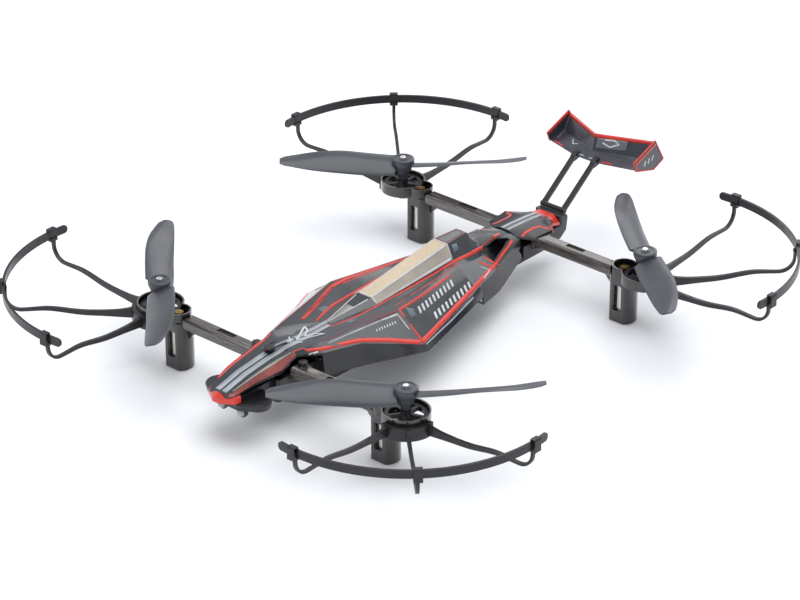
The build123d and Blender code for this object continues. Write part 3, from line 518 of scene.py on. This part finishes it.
def shell_face(point, normal):
    """The shell's finish on a face, as its place in SHELL."""
    if normal.x * point.x + normal.z * (point.z - HOLLOW_HEIGHT) < 0:
        return 2
    if abs(normal.y) > END_WALL:
        return 1
    if point.y < NOSE_END and 0.3 < normal.z < 0.9:
        return 3
    return 1 if normal.z < SIDE_WALL or point.y > REAR_SKIRT else 0


refined("body_shell", "shell_panels", "shell_plastic", SHELL, 0.3, pick=shell_face, **FACETED)


def canopy_face(point, normal):
    """Painted shade: a darker tone on the canopy's right-hand side."""
    return 1 if normal.x > 0.4 else 0


CANOPY = [window_cream, window_painted_shade]
refined("cockpit_window", "canopy", "window_plastic", CANOPY, 0.25, pick=canopy_face, **FACETED)
refined("nose_cap", "nose_tip", "accent_plastic", [red], 0.3)

body_top = surface_of("body_shell", "cockpit_window", "nose_cap", "tail_cover", "tail_block")
CAST_HEIGHT = 60.0


def mirrored(points):
    """The same points on the other side."""
    return [(-x, y, z) for x, y, z in points]


def level(*points):
    """(x, y) pairs over the object, to be cast down on it."""
    return [(x, y, CAST_HEIGHT) for x, y in points]


# Lines that the shell has on both sides, as they run on the right.
cabin_foot = level(
    (4.2, -60), (6.2, -53), (8.2, -44), (8.6, -33), (8.9, -14), (8.9, 14), (8.5, 40), (7.8, 51)
)
cabin_rear = level((7.8, 51), (6.4, 60), (3.6, 69))
panel_crease = level((13.6, -74), (16.4, -58.5), (19.0, -45), (21.8, -30.5))
panel_rear_crease = level((21.8, -28.5), (19.3, -10.7), (16.6, 6), (14.6, 18))
hull_line = level((12.4, -84), (15.4, -77.4), (19.0, -66), (21.9, -57.5), (28.2, -45.5), (37.4, -30.4))
hull_rear_line = level((37.4, -29.4), (30.6, -3), (22.9, 26), (17.4, 46), (13.2, 59.5), (9.6, 72))
nose_notch = level((11.2, -91.5), (9.0, -90.4), (10.6, -85.4), (13.2, -83.6))
spur_upper = level((21.9, -29.2), (25.8, -29.2))
spur_lower = level((29.0, -29.4), (38.0, -29.6))
fork = [
    level((12.2, 42.5), (15.9, 46.7), (18.6, 49.4)),
    level((10.6, 48.4), (14.8, 50.4), (18.0, 52.8)),
]

red_print = Print(body_top)
for flip in (list, mirrored):
    red_print.ribbon(flip(cabin_foot), [0.7, 1.4, 1.5, 1.5, 1.5, 1.4, 1.1, 1.0])
    red_print.ribbon(flip(cabin_rear), [1.0, 1.3, 1.3])
    red_print.ribbon(flip(panel_rear_crease), [1.6, 1.6, 1.2, 0.4])
    red_print.ribbon(flip(hull_line), [1.0, 1.4, 1.7, 1.8, 1.9, 2.0])
    red_print.ribbon(flip(hull_rear_line), [2.0, 1.9, 1.8, 1.7, 1.6, 1.5])
    red_print.ribbon(flip(spur_upper), 1.1)
    red_print.ribbon(flip(spur_lower), [0.9, 1.6])
    for stroke in fork:
        red_print.ribbon(flip(stroke), [1.4, 1.1, 0.6])
    red_print.ribbon(flip(level((17.2, -26.5), (10.6, 29))), 0.5)
    red_print.ribbon(flip(nose_notch), [0.7, 0.8, 0.8, 1.0])
# The left side alone has these two.
left_line = level(
    (-9.4, -64), (-12.4, -53), (-15.6, -43), (-18.8, -32.5),
    (-18.9, -22), (-16.8, -8), (-14.2, 8), (-12.6, 18),
)
red_print.ribbon(left_line, [1.8, 2.2, 2.2, 2.0, 1.8, 1.7, 1.6, 1.2])
left_edge = level((-6.8, -125), (-7.4, -117), (-8.4, -101.5), (-9.0, -91))
red_print.ribbon(left_edge, [1.2, 1.8, 2.2, 1.6])
red_print.piece("red_lines", red, "accent_plastic")

wine_print = Print(body_top)
for flip in (list, mirrored):
    wine_print.ribbon(flip(panel_crease), [0.5, 1.1, 1.3, 1.4])
    wine_print.ribbon(flip(level((10.8, -62), (12.8, -52), (15.6, -42), (18.6, -32))), [0.3, 0.8, 0.9, 0.4])
roof_edge = level(
    (-3.2, 28.0), (-2.8, 40.4), (-1.4, 42.4), (1.4, 42.4), (2.8, 40.4), (3.2, 28.0), (-3.2, 28.0)
)
wine_print.ribbon(roof_edge, 0.8)
wine_print.piece("wine_lines", wine, "accent_plastic")

# Painted light: a glint along the right nose crease and a reflection on the windscreen's front facet.
glint_print = Print(body_top)
glint_print.ribbon(level((6.0, -128.6), (7.5, -117.5), (8.4, -101.8), (9.0, -91.5)), [0.6, 1.2, 1.8, 0.8])
glint_print.patch(level((-0.5, -56.5), (0.5, -56.5), (3.5, -32.2), (-3.5, -32.2)), step=0.9)
glint_print.piece("nose_glint", glint, "shell_plastic")

silver_print = Print(body_top)
left_stripe = level((-1.3, -131.2), (-0.6, -114), (0.0, -95), (0.1, -78), (-0.6, -56))
right_stripe = level((2.7, -131.0), (3.4, -114), (3.9, -95), (3.6, -78), (2.6, -58))
# Painted highlight along each panel crease.
panel_glint = level((15.2, -73.6), (17.8, -58.5), (20.4, -45), (22.9, -31.5))
silver_print.ribbon(left_stripe, [3.0, 3.0, 3.0, 2.8, 2.4])
silver_print.ribbon(right_stripe, [3.0, 3.0, 3.0, 2.8, 2.2])
for flip in (list, mirrored):
    silver_print.ribbon(flip(panel_glint), [0.3, 0.7, 0.7, 0.4])
silver_print.piece("nose_stripes_and_crease_highlights", silver, "shell_plastic")

white_print = Print(body_top, lift=0.16)
for flip in (list, mirrored):
    white_print.ribbon(flip(level((21.2, -41), (23.3, -31.8), (30.6, -31.6))), 0.5)
    white_print.ribbon(flip(level((14.8, 40.6), (17.9, 44.3), (20.4, 36.6))), 0.5)
    white_print.ribbon(flip(level((13.4, -86.2), (15.4, -79.8))), 0.6)
arrow = level(
    (-4.6, -67.4), (1.8, -80.2), (8.2, -67.4), (4.6, -69.4), (1.8, -74.6), (-1.0, -69.4), (-4.6, -67.4)
)
white_print.ribbon(arrow, 0.9)
white_print.ribbon(level((-2.6, -80.6), (1.8, -84.6), (6.2, -80.6)), 0.6)
white_print.piece("white_marks", white, "shell_plastic")


def slanted_bars(start, end, count, height, lean, share):
    """Short leaning bars in a row between two (x, y) points, each taking its share of the row."""
    (x0, y0), (x1, y1) = start, end
    bars = []
    for i in range(count):
        a = (i + 0.5 - share / 2) / count
        b = (i + 0.5 + share / 2) / count
        foot_a = (x0 + (x1 - x0) * a, y0 + (y1 - y0) * a)
        foot_b = (x0 + (x1 - x0) * b, y0 + (y1 - y0) * b)
        head_a = (foot_a[0] - height, foot_a[1] + lean)
        head_b = (foot_b[0] - height, foot_b[1] + lean)
        bars.append(level(foot_a, foot_b, head_b, head_a))
    return bars


bar_print = Print(body_top)
for flip in (list, mirrored):
    for corners in slanted_bars((26.6, -19.5), (19.4, 15.5), 10, 3.0, 1.3, 0.46):
        bar_print.patch(flip(corners), step=0.7)
    for corners in slanted_bars((30.8, -12.5), (22.4, 25.5), 10, 3.0, 1.3, 0.46):
        bar_print.patch(flip(corners), step=0.7)
    for corners in slanted_bars((23.4, -47.5), (25.8, -35.0), 8, 1.0, 0.4, 0.45):
        bar_print.patch(flip(corners), step=0.5)
bar_print.piece("panel_bars", white, "shell_plastic")

mist_print = Print(body_top)
for flip in (list, mirrored):
    mist_print.patch(flip(level((21.8, -24.6), (23.6, -20.4), (26.4, -21.6), (26.6, -25.6))))
    mist_print.patch(flip(level((10.5, -51.6), (10.6, -46.8), (7.6, -46.6), (7.0, -51.8))))
    mist_print.patch(flip(level((4.9, 29.8), (4.9, 34.0), (6.6, 33.8), (6.8, 29.8))))
mist_print.piece("panel_tiles", mist, "shell_plastic")

# The canopy's pale rim, its ridge lines painted as highlights, and the line along its foot.
rim_print = Print(body_top, lift=0.12)
for flip in (list, mirrored):
    rim_print.ribbon(flip(level((0.5, -56.5), (3.8, -31.4))), [0.3, 0.6])
    rim_print.ribbon(flip(level((4.1, -29.2), (4.3, 25.9))), 0.7)
    rim_print.ribbon(flip(level((0, -28.9), (4.1, -28.9), (7.6, -29.0))), 0.8)
    rim_print.ribbon(flip(level((0, 26.9), (4.3, 26.9), (7.9, 26.9))), 0.7)
    rim_print.ribbon(flip(level((7.5, -29.0), (7.6, 26.2))), 0.6)
rim_print.piece("canopy_rim_and_ridge_highlights", white, "window_plastic")

# A pale painted highlight along the skirt's top, just outside the red one.
edge_print = Print(body_top)
for flip in (list, mirrored):
    edge_print.ribbon(flip(level((38.9, -28.6), (32.6, -3), (26.0, 22))), 0.35)
edge_print.piece("skirt_edge_highlight", silver, "shell_plastic")

# ---------------------------------------------------------------- tail

# How far back, and how far out, the cover's faces are red.
TAIL = [panel_dark, red, inside]
RED_END = 106
RED_SIDE = 13


def tail_face(point, normal):
    """The tail cover's finish on a face, as its place in TAIL."""
    if normal.z < -0.2:
        return 2
    if point.y > RED_END or (abs(point.x) > RED_SIDE and normal.z > 0.1):
        return 1
    return 0


refined("tail_cover", "tail_hood", "shell_plastic", TAIL, 0.25, pick=tail_face, **FACETED)
refined("tail_block", "tail_frame", "chassis_plastic", [block_grey], 0.35)

hood = surface_of("tail_cover")
tail_red = Print(hood)
tail_silver = Print(hood)
for flip in (list, mirrored):
    tail_red.ribbon(flip(level((9.2, 105.4), (11.4, 102.4), (14.6, 96.8))), [1.6, 2.0, 1.8])
    tail_red.ribbon(flip(level((14.2, 95.7), (9.6, 94.0), (8.7, 89.5), (9.0, 83), (10.4, 77.5))), 1.5)
    tail_silver.ribbon(flip(level((1.7, 77.6), (1.7, 105.6))), 1.9)
tail_red.piece("tail_lines", red, "accent_plastic")
tail_silver.piece("tail_stripes", silver, "shell_plastic")

# ---------------------------------------------------------------- wing

WING = [wing_dark, red]
WING_LIP = 59
WING_AIM = Vector((0, 0.8, -0.6))
# The places that the end plates' prints are cast towards, and how far off the cast begins.
FIN_X = 32
FIN_INNER_X = 26
FIN_REACH = 8


def wing_face(point, normal):
    """Red on the wing's trailing lip."""
    return 1 if point.z > WING_LIP and normal.z > 0.3 else 0


def plate_face(point, normal):
    """Red on the rims of the end plates."""
    return 1 if abs(normal.x) < 0.6 else 0


refined("wing", "wing_blade", "wing_plastic", WING, 0.2, pick=wing_face, sharp=12)
refined("wing_end_plates", "wing_fins", "wing_plastic", WING, 0.15, pick=plate_face)
wing_top = surface_of("wing")
wing_red = Print(wing_top)
wing_white = Print(wing_top)
wing_tone = Print(wing_top)
for side in SIDES:
    lip = [(0, 150.4, 59.2), (side * 7.8, 154.1, 59.0), (side * 27.6, 163.7, 58.5)]
    wing_red.ribbon(lip, 2.0, WING_AIM)
    corner = [(side * 26.4, 162.6, 57.6), (side * 26.6, 159.0, 52.2), (side * 25.0, 150.4, 50.0)]
    wing_tone.ribbon(corner, 0.6, WING_AIM)
    for i in range(5):
        x = side * (2.2 + 1.15 * i)
        wing_white.ribbon(level((x - 0.35, 142.9), (x + 0.35, 143.9)), 0.45)
wing_red.ribbon(level((-24.5, 147.6), (-17.5, 145.5)), 0.9)
wing_red.ribbon(level((9.6, 143.6), (15.6, 145.1)), 0.9)
wing_white.ribbon(level((-16.6, 153.4), (-14.0, 149.6), (-11.2, 150.6)), 0.5)
tile = [(1.2, 149.2, 52.2), (16.4, 156.4, 52.4), (16.0, 158.4, 57.4), (1.4, 151.4, 57.6)]
wing_tone.patch(tile, WING_AIM)
mark = [(4.2, 152.6, 54.8), (8.2, 153.6, 53.2), (12.4, 156.4, 54.8), (9.6, 156.0, 56.4), (5.0, 153.4, 56.4)]
wing_white.ribbon(mark, 0.8, WING_AIM)
fins = surface_of("wing_end_plates")
fin_red = Print(fins, FIN_REACH)
fin_marks = Print(fins, FIN_REACH)
for side in SIDES:
    inwards = Vector((-side, 0, 0))
    x = side * FIN_X
    band = [(x, 146.8, 52.6), (x, 163.9, 59.0)]
    fin_red.ribbon(band, 2.4, inwards)
    rim = [(x, 164.2, 59.4), (x, 171.3, 47.5), (x, 163.2, 44.1), (x, 148.7, 48.2), (x, 146.7, 53.2)]
    fin_red.ribbon(rim, 0.7, inwards)
    for i in range(3):
        y = 155.0 + 3.2 * i
        z = 48.8 + 0.5 * i
        fin_marks.ribbon([(x, y, z), (x, y + 1.0, z + 2.8)], 1.1, inwards)
    inner_band = [(side * FIN_INNER_X, 147.4, 52.9), (side * FIN_INNER_X, 163.4, 58.9)]
    fin_red.ribbon(inner_band, 1.2, -inwards)
fin_red.piece("fin_bands", red, "accent_plastic")
fin_marks.piece("fin_marks", white, "wing_plastic")
wing_red.piece("wing_lines", red, "accent_plastic")
wing_white.piece("wing_marks", white, "wing_plastic")
wing_tone.piece("wing_tones", wing_grey, "wing_plastic")

# ---------------------------------------------------------------- chassis and its fittings

# Black pieces: the CAD node, the piece, the body that it rides and how far its edges are rounded.
BLACK_PIECES = [
    ("wing_stays", "wing_struts", "root", 0.25),
    ("chassis", "tray", "root", 0.3),
    ("front_bumper", "bumper", "root", 0.5),
    ("arm_knobs", "knobs", "root", 0.3),
    ("battery_door", "door", "battery_door", 0.25),
    ("body_post", "post", "root", 0.3),
]
for node, piece, rides, rounding in BLACK_PIECES:
    refined(node, piece, "chassis_plastic", [chassis_black], rounding, rides)
refined("head_lamps", "lamps", "lamp_plastic", [lens_clear], 0.2)

# Turned profiles of the lamps, from back to front: (radius, height).
LENS = [(0.3, -1.6), (2.3, -1.4), (2.3, 0.4), (2.0, 1.3), (1.3, 1.9), (0.5, 2.15)]
BEZEL = [(2.4, -1.6), (2.95, -1.4), (2.95, 0.3), (2.75, 0.6), (2.4, 0.6)]
LAMP_X, LAMP_Y, LAMP_Z = 6.3, -123.2, 15.8
LAMP_AIM = (0.0, -1.0, -0.1)
for side in SIDES:
    seat = Vector((side * LAMP_X, LAMP_Y, LAMP_Z)) * MM
    label = "right" if side > 0 else "left"
    lathe(f"lens_{label}", LENS, seat, LAMP_AIM, lens_clear, "root")
    lathe(f"bezel_{label}", BEZEL, seat, LAMP_AIM, chassis_black, "root")

KEPT_NODES = {
    "battery": battery_wrap,
    "circuit_board": board_green,
    "switch_body": switch_white,
    "power_switch": switch_white,
    "antenna": lead_black,
    "motor_leads": lead_black,
    "shaft_bushes": brass,
}
for node, finish in KEPT_NODES.items():
    repaint(node, finish)

# The body clip's bends: how far they lie from the post's axis in x and y, and their heights.
CLIP_WIRE = 0.5
CLIP_BENDS = [
    (-2.2, 5.4, 37.2),
    (-2.4, -1.0, 37.2),
    (0.0, -4.6, 37.6),
    (2.4, -1.0, 37.2),
    (2.2, 5.4, 37.2),
    (4.0, 8.0, 37.8),
]
post = middle("body_post") / MM
bends = [(post.x + x, post.y + y, z) for x, y, z in CLIP_BENDS]
wire("post_clip", bends, CLIP_WIRE, chassis_black)

# ---------------------------------------------------------------- rotors, pods, arms and guards

# Stations of one blade: the reach, the leading and the trailing edge's distance from the blade's line,
# the pitch in degrees, the height and the thickness.
BLADE = [
    (5.0, 8.0, 6.5, 22, 38.0, 2.2),
    (12, 8.6, 6.6, 23, 38.1, 2.0),
    (20, 9.2, 6.4, 24.5, 38.3, 1.9),
    (31, 9.7, 5.8, 26, 38.9, 1.6),
    (42, 9.0, 5.4, 24, 39.6, 1.4),
    (50, 7.6, 5.0, 20, 40.2, 1.2),
    (57, 5.6, 4.6, 15, 41.0, 1.0),
    (62, 3.8, 4.2, 12, 41.6, 0.9),
    (64.8, 1.6, 3.4, 10, 42.0, 0.8),
]
# Each rotor's blades at rest: where they point, in degrees, and the rotor's hand.
BLADE_AIM = {
    "front_left": (-48.0, 1),
    "front_right": (45.0, -1),
    "rear_left": (42.0, -1),
    "rear_right": (-42.5, 1),
}
# The camber as a share of the width, where the blade begins and ends, its rings, the steps across one of
# its faces and the angle from which its edges stay crisp.
CAMBER = 0.055
BLADE_ROOT = 4.4
BLADE_TIP = 64.6
BLADE_RINGS = 46
ACROSS_STEPS = 14
BLADE_SHARP = 50


def blade_at(reach):
    """The blade's measures at a distance out, on a smooth curve through its stations."""
    last = len(BLADE) - 1
    k = next((i for i in range(last) if reach <= BLADE[i + 1][0]), last - 1)
    p0, p1, p2, p3 = (BLADE[min(max(k + i, 0), last)] for i in (-1, 0, 1, 2))
    t = (reach - p1[0]) / (p2[0] - p1[0])
    t2, t3 = t * t, t * t * t
    values = []
    for a, b, c, d in list(zip(p0, p1, p2, p3))[1:]:
        m0, m1 = (c - a) / 2, (d - b) / 2
        from_start = (2 * t3 - 3 * t2 + 1) * b + (t3 - 2 * t2 + t) * m0
        values.append(from_start + (3 * t2 - 2 * t3) * c + (t3 - t2) * m1)
    return values


def add_blade(bm, centre, angle, hand):
    """A twisted, cambered blade, thickest in the middle of its width and rounded at its rim."""
    out = Vector((math.cos(math.radians(angle)), math.sin(math.radians(angle)), 0))
    ahead = Vector((-out.y, out.x, 0)) * hand
    rings = []
    for i in range(BLADE_RINGS + 1):
        share = math.sin(math.pi / 2 * i / BLADE_RINGS) ** 0.9
        reach = BLADE_ROOT + (BLADE_TIP - BLADE_ROOT) * share
        lead, trail, pitch, height, thick = blade_at(max(reach, BLADE[0][0]))
        chord = ahead * math.cos(math.radians(pitch)) + Vector((0, 0, math.sin(math.radians(pitch))))
        lift = out.cross(chord).normalized()
        if lift.z < 0:
            lift.negate()
        ring = []
        for j in range(2 * ACROSS_STEPS):
            u = j / ACROSS_STEPS if j <= ACROSS_STEPS else 2 - j / ACROSS_STEPS
            upper = 1 if j <= ACROSS_STEPS else -1
            u = 0.5 - 0.5 * math.cos(math.pi * u)
            bow = 4 * u * (1 - u)
            half = thick / 2 * max(bow, 0.0) ** 0.6
            rise = CAMBER * (lead + trail) * bow + upper * half
            place = out * reach + chord * (lead - (lead + trail) * u) + lift * rise
            ring.append(bm.verts.new(centre + (place + Vector((0, 0, height))) * MM))
        rings.append(ring)
    for a, b in zip(rings, rings[1:]):
        for j in range(len(a)):
            k = (j + 1) % len(a)
            bm.faces.new((a[j], a[k], b[k], b[j]))
    bm.faces.new(rings[0][::-1])
    bm.faces.new(rings[-1])


# The hub's turned profile, from the gear up over the dished top: (radius, height).
HUB = [
    (2.5, 31.3),
    (2.5, 35.2),
    (3.9, 35.5),
    (4.1, 36.0),
    (5.95, 40.5),
    (5.95, 42.3),
    (5.8, 42.7),
    (5.4, 42.85),
    (4.4, 42.85),
    (4.2, 42.5),
    (2.6, 42.5),
    (2.4, 42.85),
    (1.06, 42.85),
]
# The height over which the gear basket's faces are its rim, and the heights between which an arm's
# upward faces are the floor of its recess.
BASKET_TOP = 30.5
RECESS_FLOOR = (27.5, 28.5)


def pod_face(point, normal):
    """Painted highlight: a pale tone on the upward faces of the gear basket's rim."""
    return 1 if point.z > BASKET_TOP and normal.z > 0.5 else 0


def arm_face(point, normal):
    """Painted shade: a dark tone on the floor of the recess in the arm's top."""
    return 1 if normal.z > 0.9 and RECESS_FLOOR[0] < point.z < RECESS_FLOOR[1] else 0


# Painted highlight: lighter smoke tones for the top of the basket's rim.
RIM_HIGHLIGHT_TONES = [(0.3, rgb(70, 62, 57)), (0.6, rgb(112, 103, 96)), (0.8, rgb(84, 76, 70))]
smoke_rim_highlight = smoked("smoke_rim_highlight", "X", RIM_HIGHLIGHT_TONES, 0.25, 0.00003)
# Painted shade for the floor of the arm's recess.
recess_painted_shade = moulded("recess_painted_shade", rgb(20, 18, 17), rgb(34, 31, 29), 0.4)

PODS = [smoke_pod, smoke_rim_highlight]
ARMS = [smoke_arm, recess_painted_shade]
for name in CORNERS:
    rotor = f"rotor_{name}"
    shaft = middle(f"prop_shaft_{name}")
    centre = Vector((shaft.x, shaft.y, 0))
    angle, hand = BLADE_AIM[name]
    bm = bmesh.new()
    for turn in (0, 180):
        add_blade(bm, centre, angle + turn, hand)
    bmesh.ops.recalc_face_normals(bm, faces=bm.faces)
    mesh = finish_mesh(bm, f"blades_{name}", [prop_slate], BLADE_SHARP)
    blades = add_object(f"blades_{name}", mesh, rotor)
    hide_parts(f"propeller_{name}")
    lathe(f"hub_{name}", HUB, centre, (0, 0, 1), prop_slate, rotor)
    repaint(f"prop_shaft_{name}", shaft_steel)
    repaint(f"spur_gear_{name}", gear_black)
    repaint(f"pinion_{name}", brass)
    repaint(f"motor_can_{name}", motor_steel)
    refined(f"motor_pod_{name}", f"pod_{name}", "pod_plastic", PODS, 0.25, pick=pod_face, sharp=30)
    refined(f"arm_{name}", f"boom_{name}", "arm_plastic", ARMS, 0.25, pick=arm_face)
    refined(f"guard_ring_{name}", f"ring_{name}", "guard_plastic", [guard_black], 0.3, flat=0.4)
    refined(f"guard_spider_{name}", f"spider_{name}", "guard_plastic", [rib_black], 0.25, flat=0.4, slim=0.25)

# ---------------------------------------------------------------- floor, light and camera

# Half the floor's width, in metres.
FLOOR_HALF = 6.0


def stage_floor():
    """A wide, pale, level floor."""
    bm = bmesh.new()
    bmesh.ops.create_grid(bm, x_segments=8, y_segments=8, size=FLOOR_HALF)
    mesh = bpy.data.meshes.new("floor")
    bm.to_mesh(mesh)
    bm.free()
    floor = bpy.data.objects.new("floor", mesh)
    bpy.context.scene.collection.objects.link(floor)
    s = Shader("floor_pale")
    pale = [(0.3, rgb(243, 244, 247)), (0.7, rgb(248, 249, 251))]
    s.link(s.ramp(s.noise(3.0, 3.0), pale), s.bsdf.inputs["Base Color"])
    s.set(Roughness=0.75, Specular_IOR_Level=0.2)
    mesh.materials.append(s.material)


def area_light(name, place, aim, size, power, tint):
    """A soft rectangular light in metres and watts, turned towards its aim."""
    light = bpy.data.lights.new(name, "AREA")
    light.shape = "RECTANGLE"
    light.size, light.size_y = size
    light.energy = power
    light.color = tint
    obj = bpy.data.objects.new(name, light)
    obj.location = place
    obj.rotation_euler = (Vector(aim) - Vector(place)).to_track_quat("-Z", "Y").to_euler()
    bpy.context.scene.collection.objects.link(obj)


stage_floor()
area_light("overhead", (0.1, 0.2, 1.5), (0, 0, 0), (1.5, 1.5), 16, (1, 1, 1))
area_light("left_wall", (-1.5, -0.3, 0.7), (0, 0, 0.03), (1.4, 1.0), 7, (0.97, 0.98, 1))
area_light("right_wall", (1.4, -0.9, 0.8), (0, 0, 0.03), (1.0, 0.9), 3.5, (1, 0.99, 0.98))
area_light("behind", (-0.4, 1.6, 0.9), (0, 0, 0.03), (1.6, 0.9), 6, (1, 1, 1))

world = bpy.data.worlds.new("studio")
world.use_nodes = True
world.node_tree.nodes["Background"].inputs["Color"].default_value = (0.93, 0.95, 1.0, 1)
world.node_tree.nodes["Background"].inputs["Strength"].default_value = 0.62
bpy.context.scene.world = world
bpy.context.scene.view_settings.view_transform = "Standard"

VIEW_AZIMUTH = 41.175
VIEW_ELEVATION = 28.30
VIEW_DISTANCE = 1608.3
VIEW_TARGET = (0, -3.38, 24.5)
LENS_LENGTH = 146.95
SENSOR_WIDTH = 36
azimuth = math.radians(VIEW_AZIMUTH)
elevation = math.radians(VIEW_ELEVATION)
level_reach = math.cos(elevation)
back = Vector((math.sin(azimuth) * level_reach, -math.cos(azimuth) * level_reach, math.sin(elevation)))
view = bpy.data.cameras.new("photo_view")
view.lens = LENS_LENGTH
view.sensor_width = SENSOR_WIDTH
view.clip_start = 0.05
view.clip_end = 40
camera = bpy.data.objects.new("photo_view", view)
camera.location = (Vector(VIEW_TARGET) + back * VIEW_DISTANCE) * MM
camera.rotation_euler = back.to_track_quat("Z", "Y").to_euler()
bpy.context.scene.collection.objects.link(camera)
bpy.context.scene.camera = camera
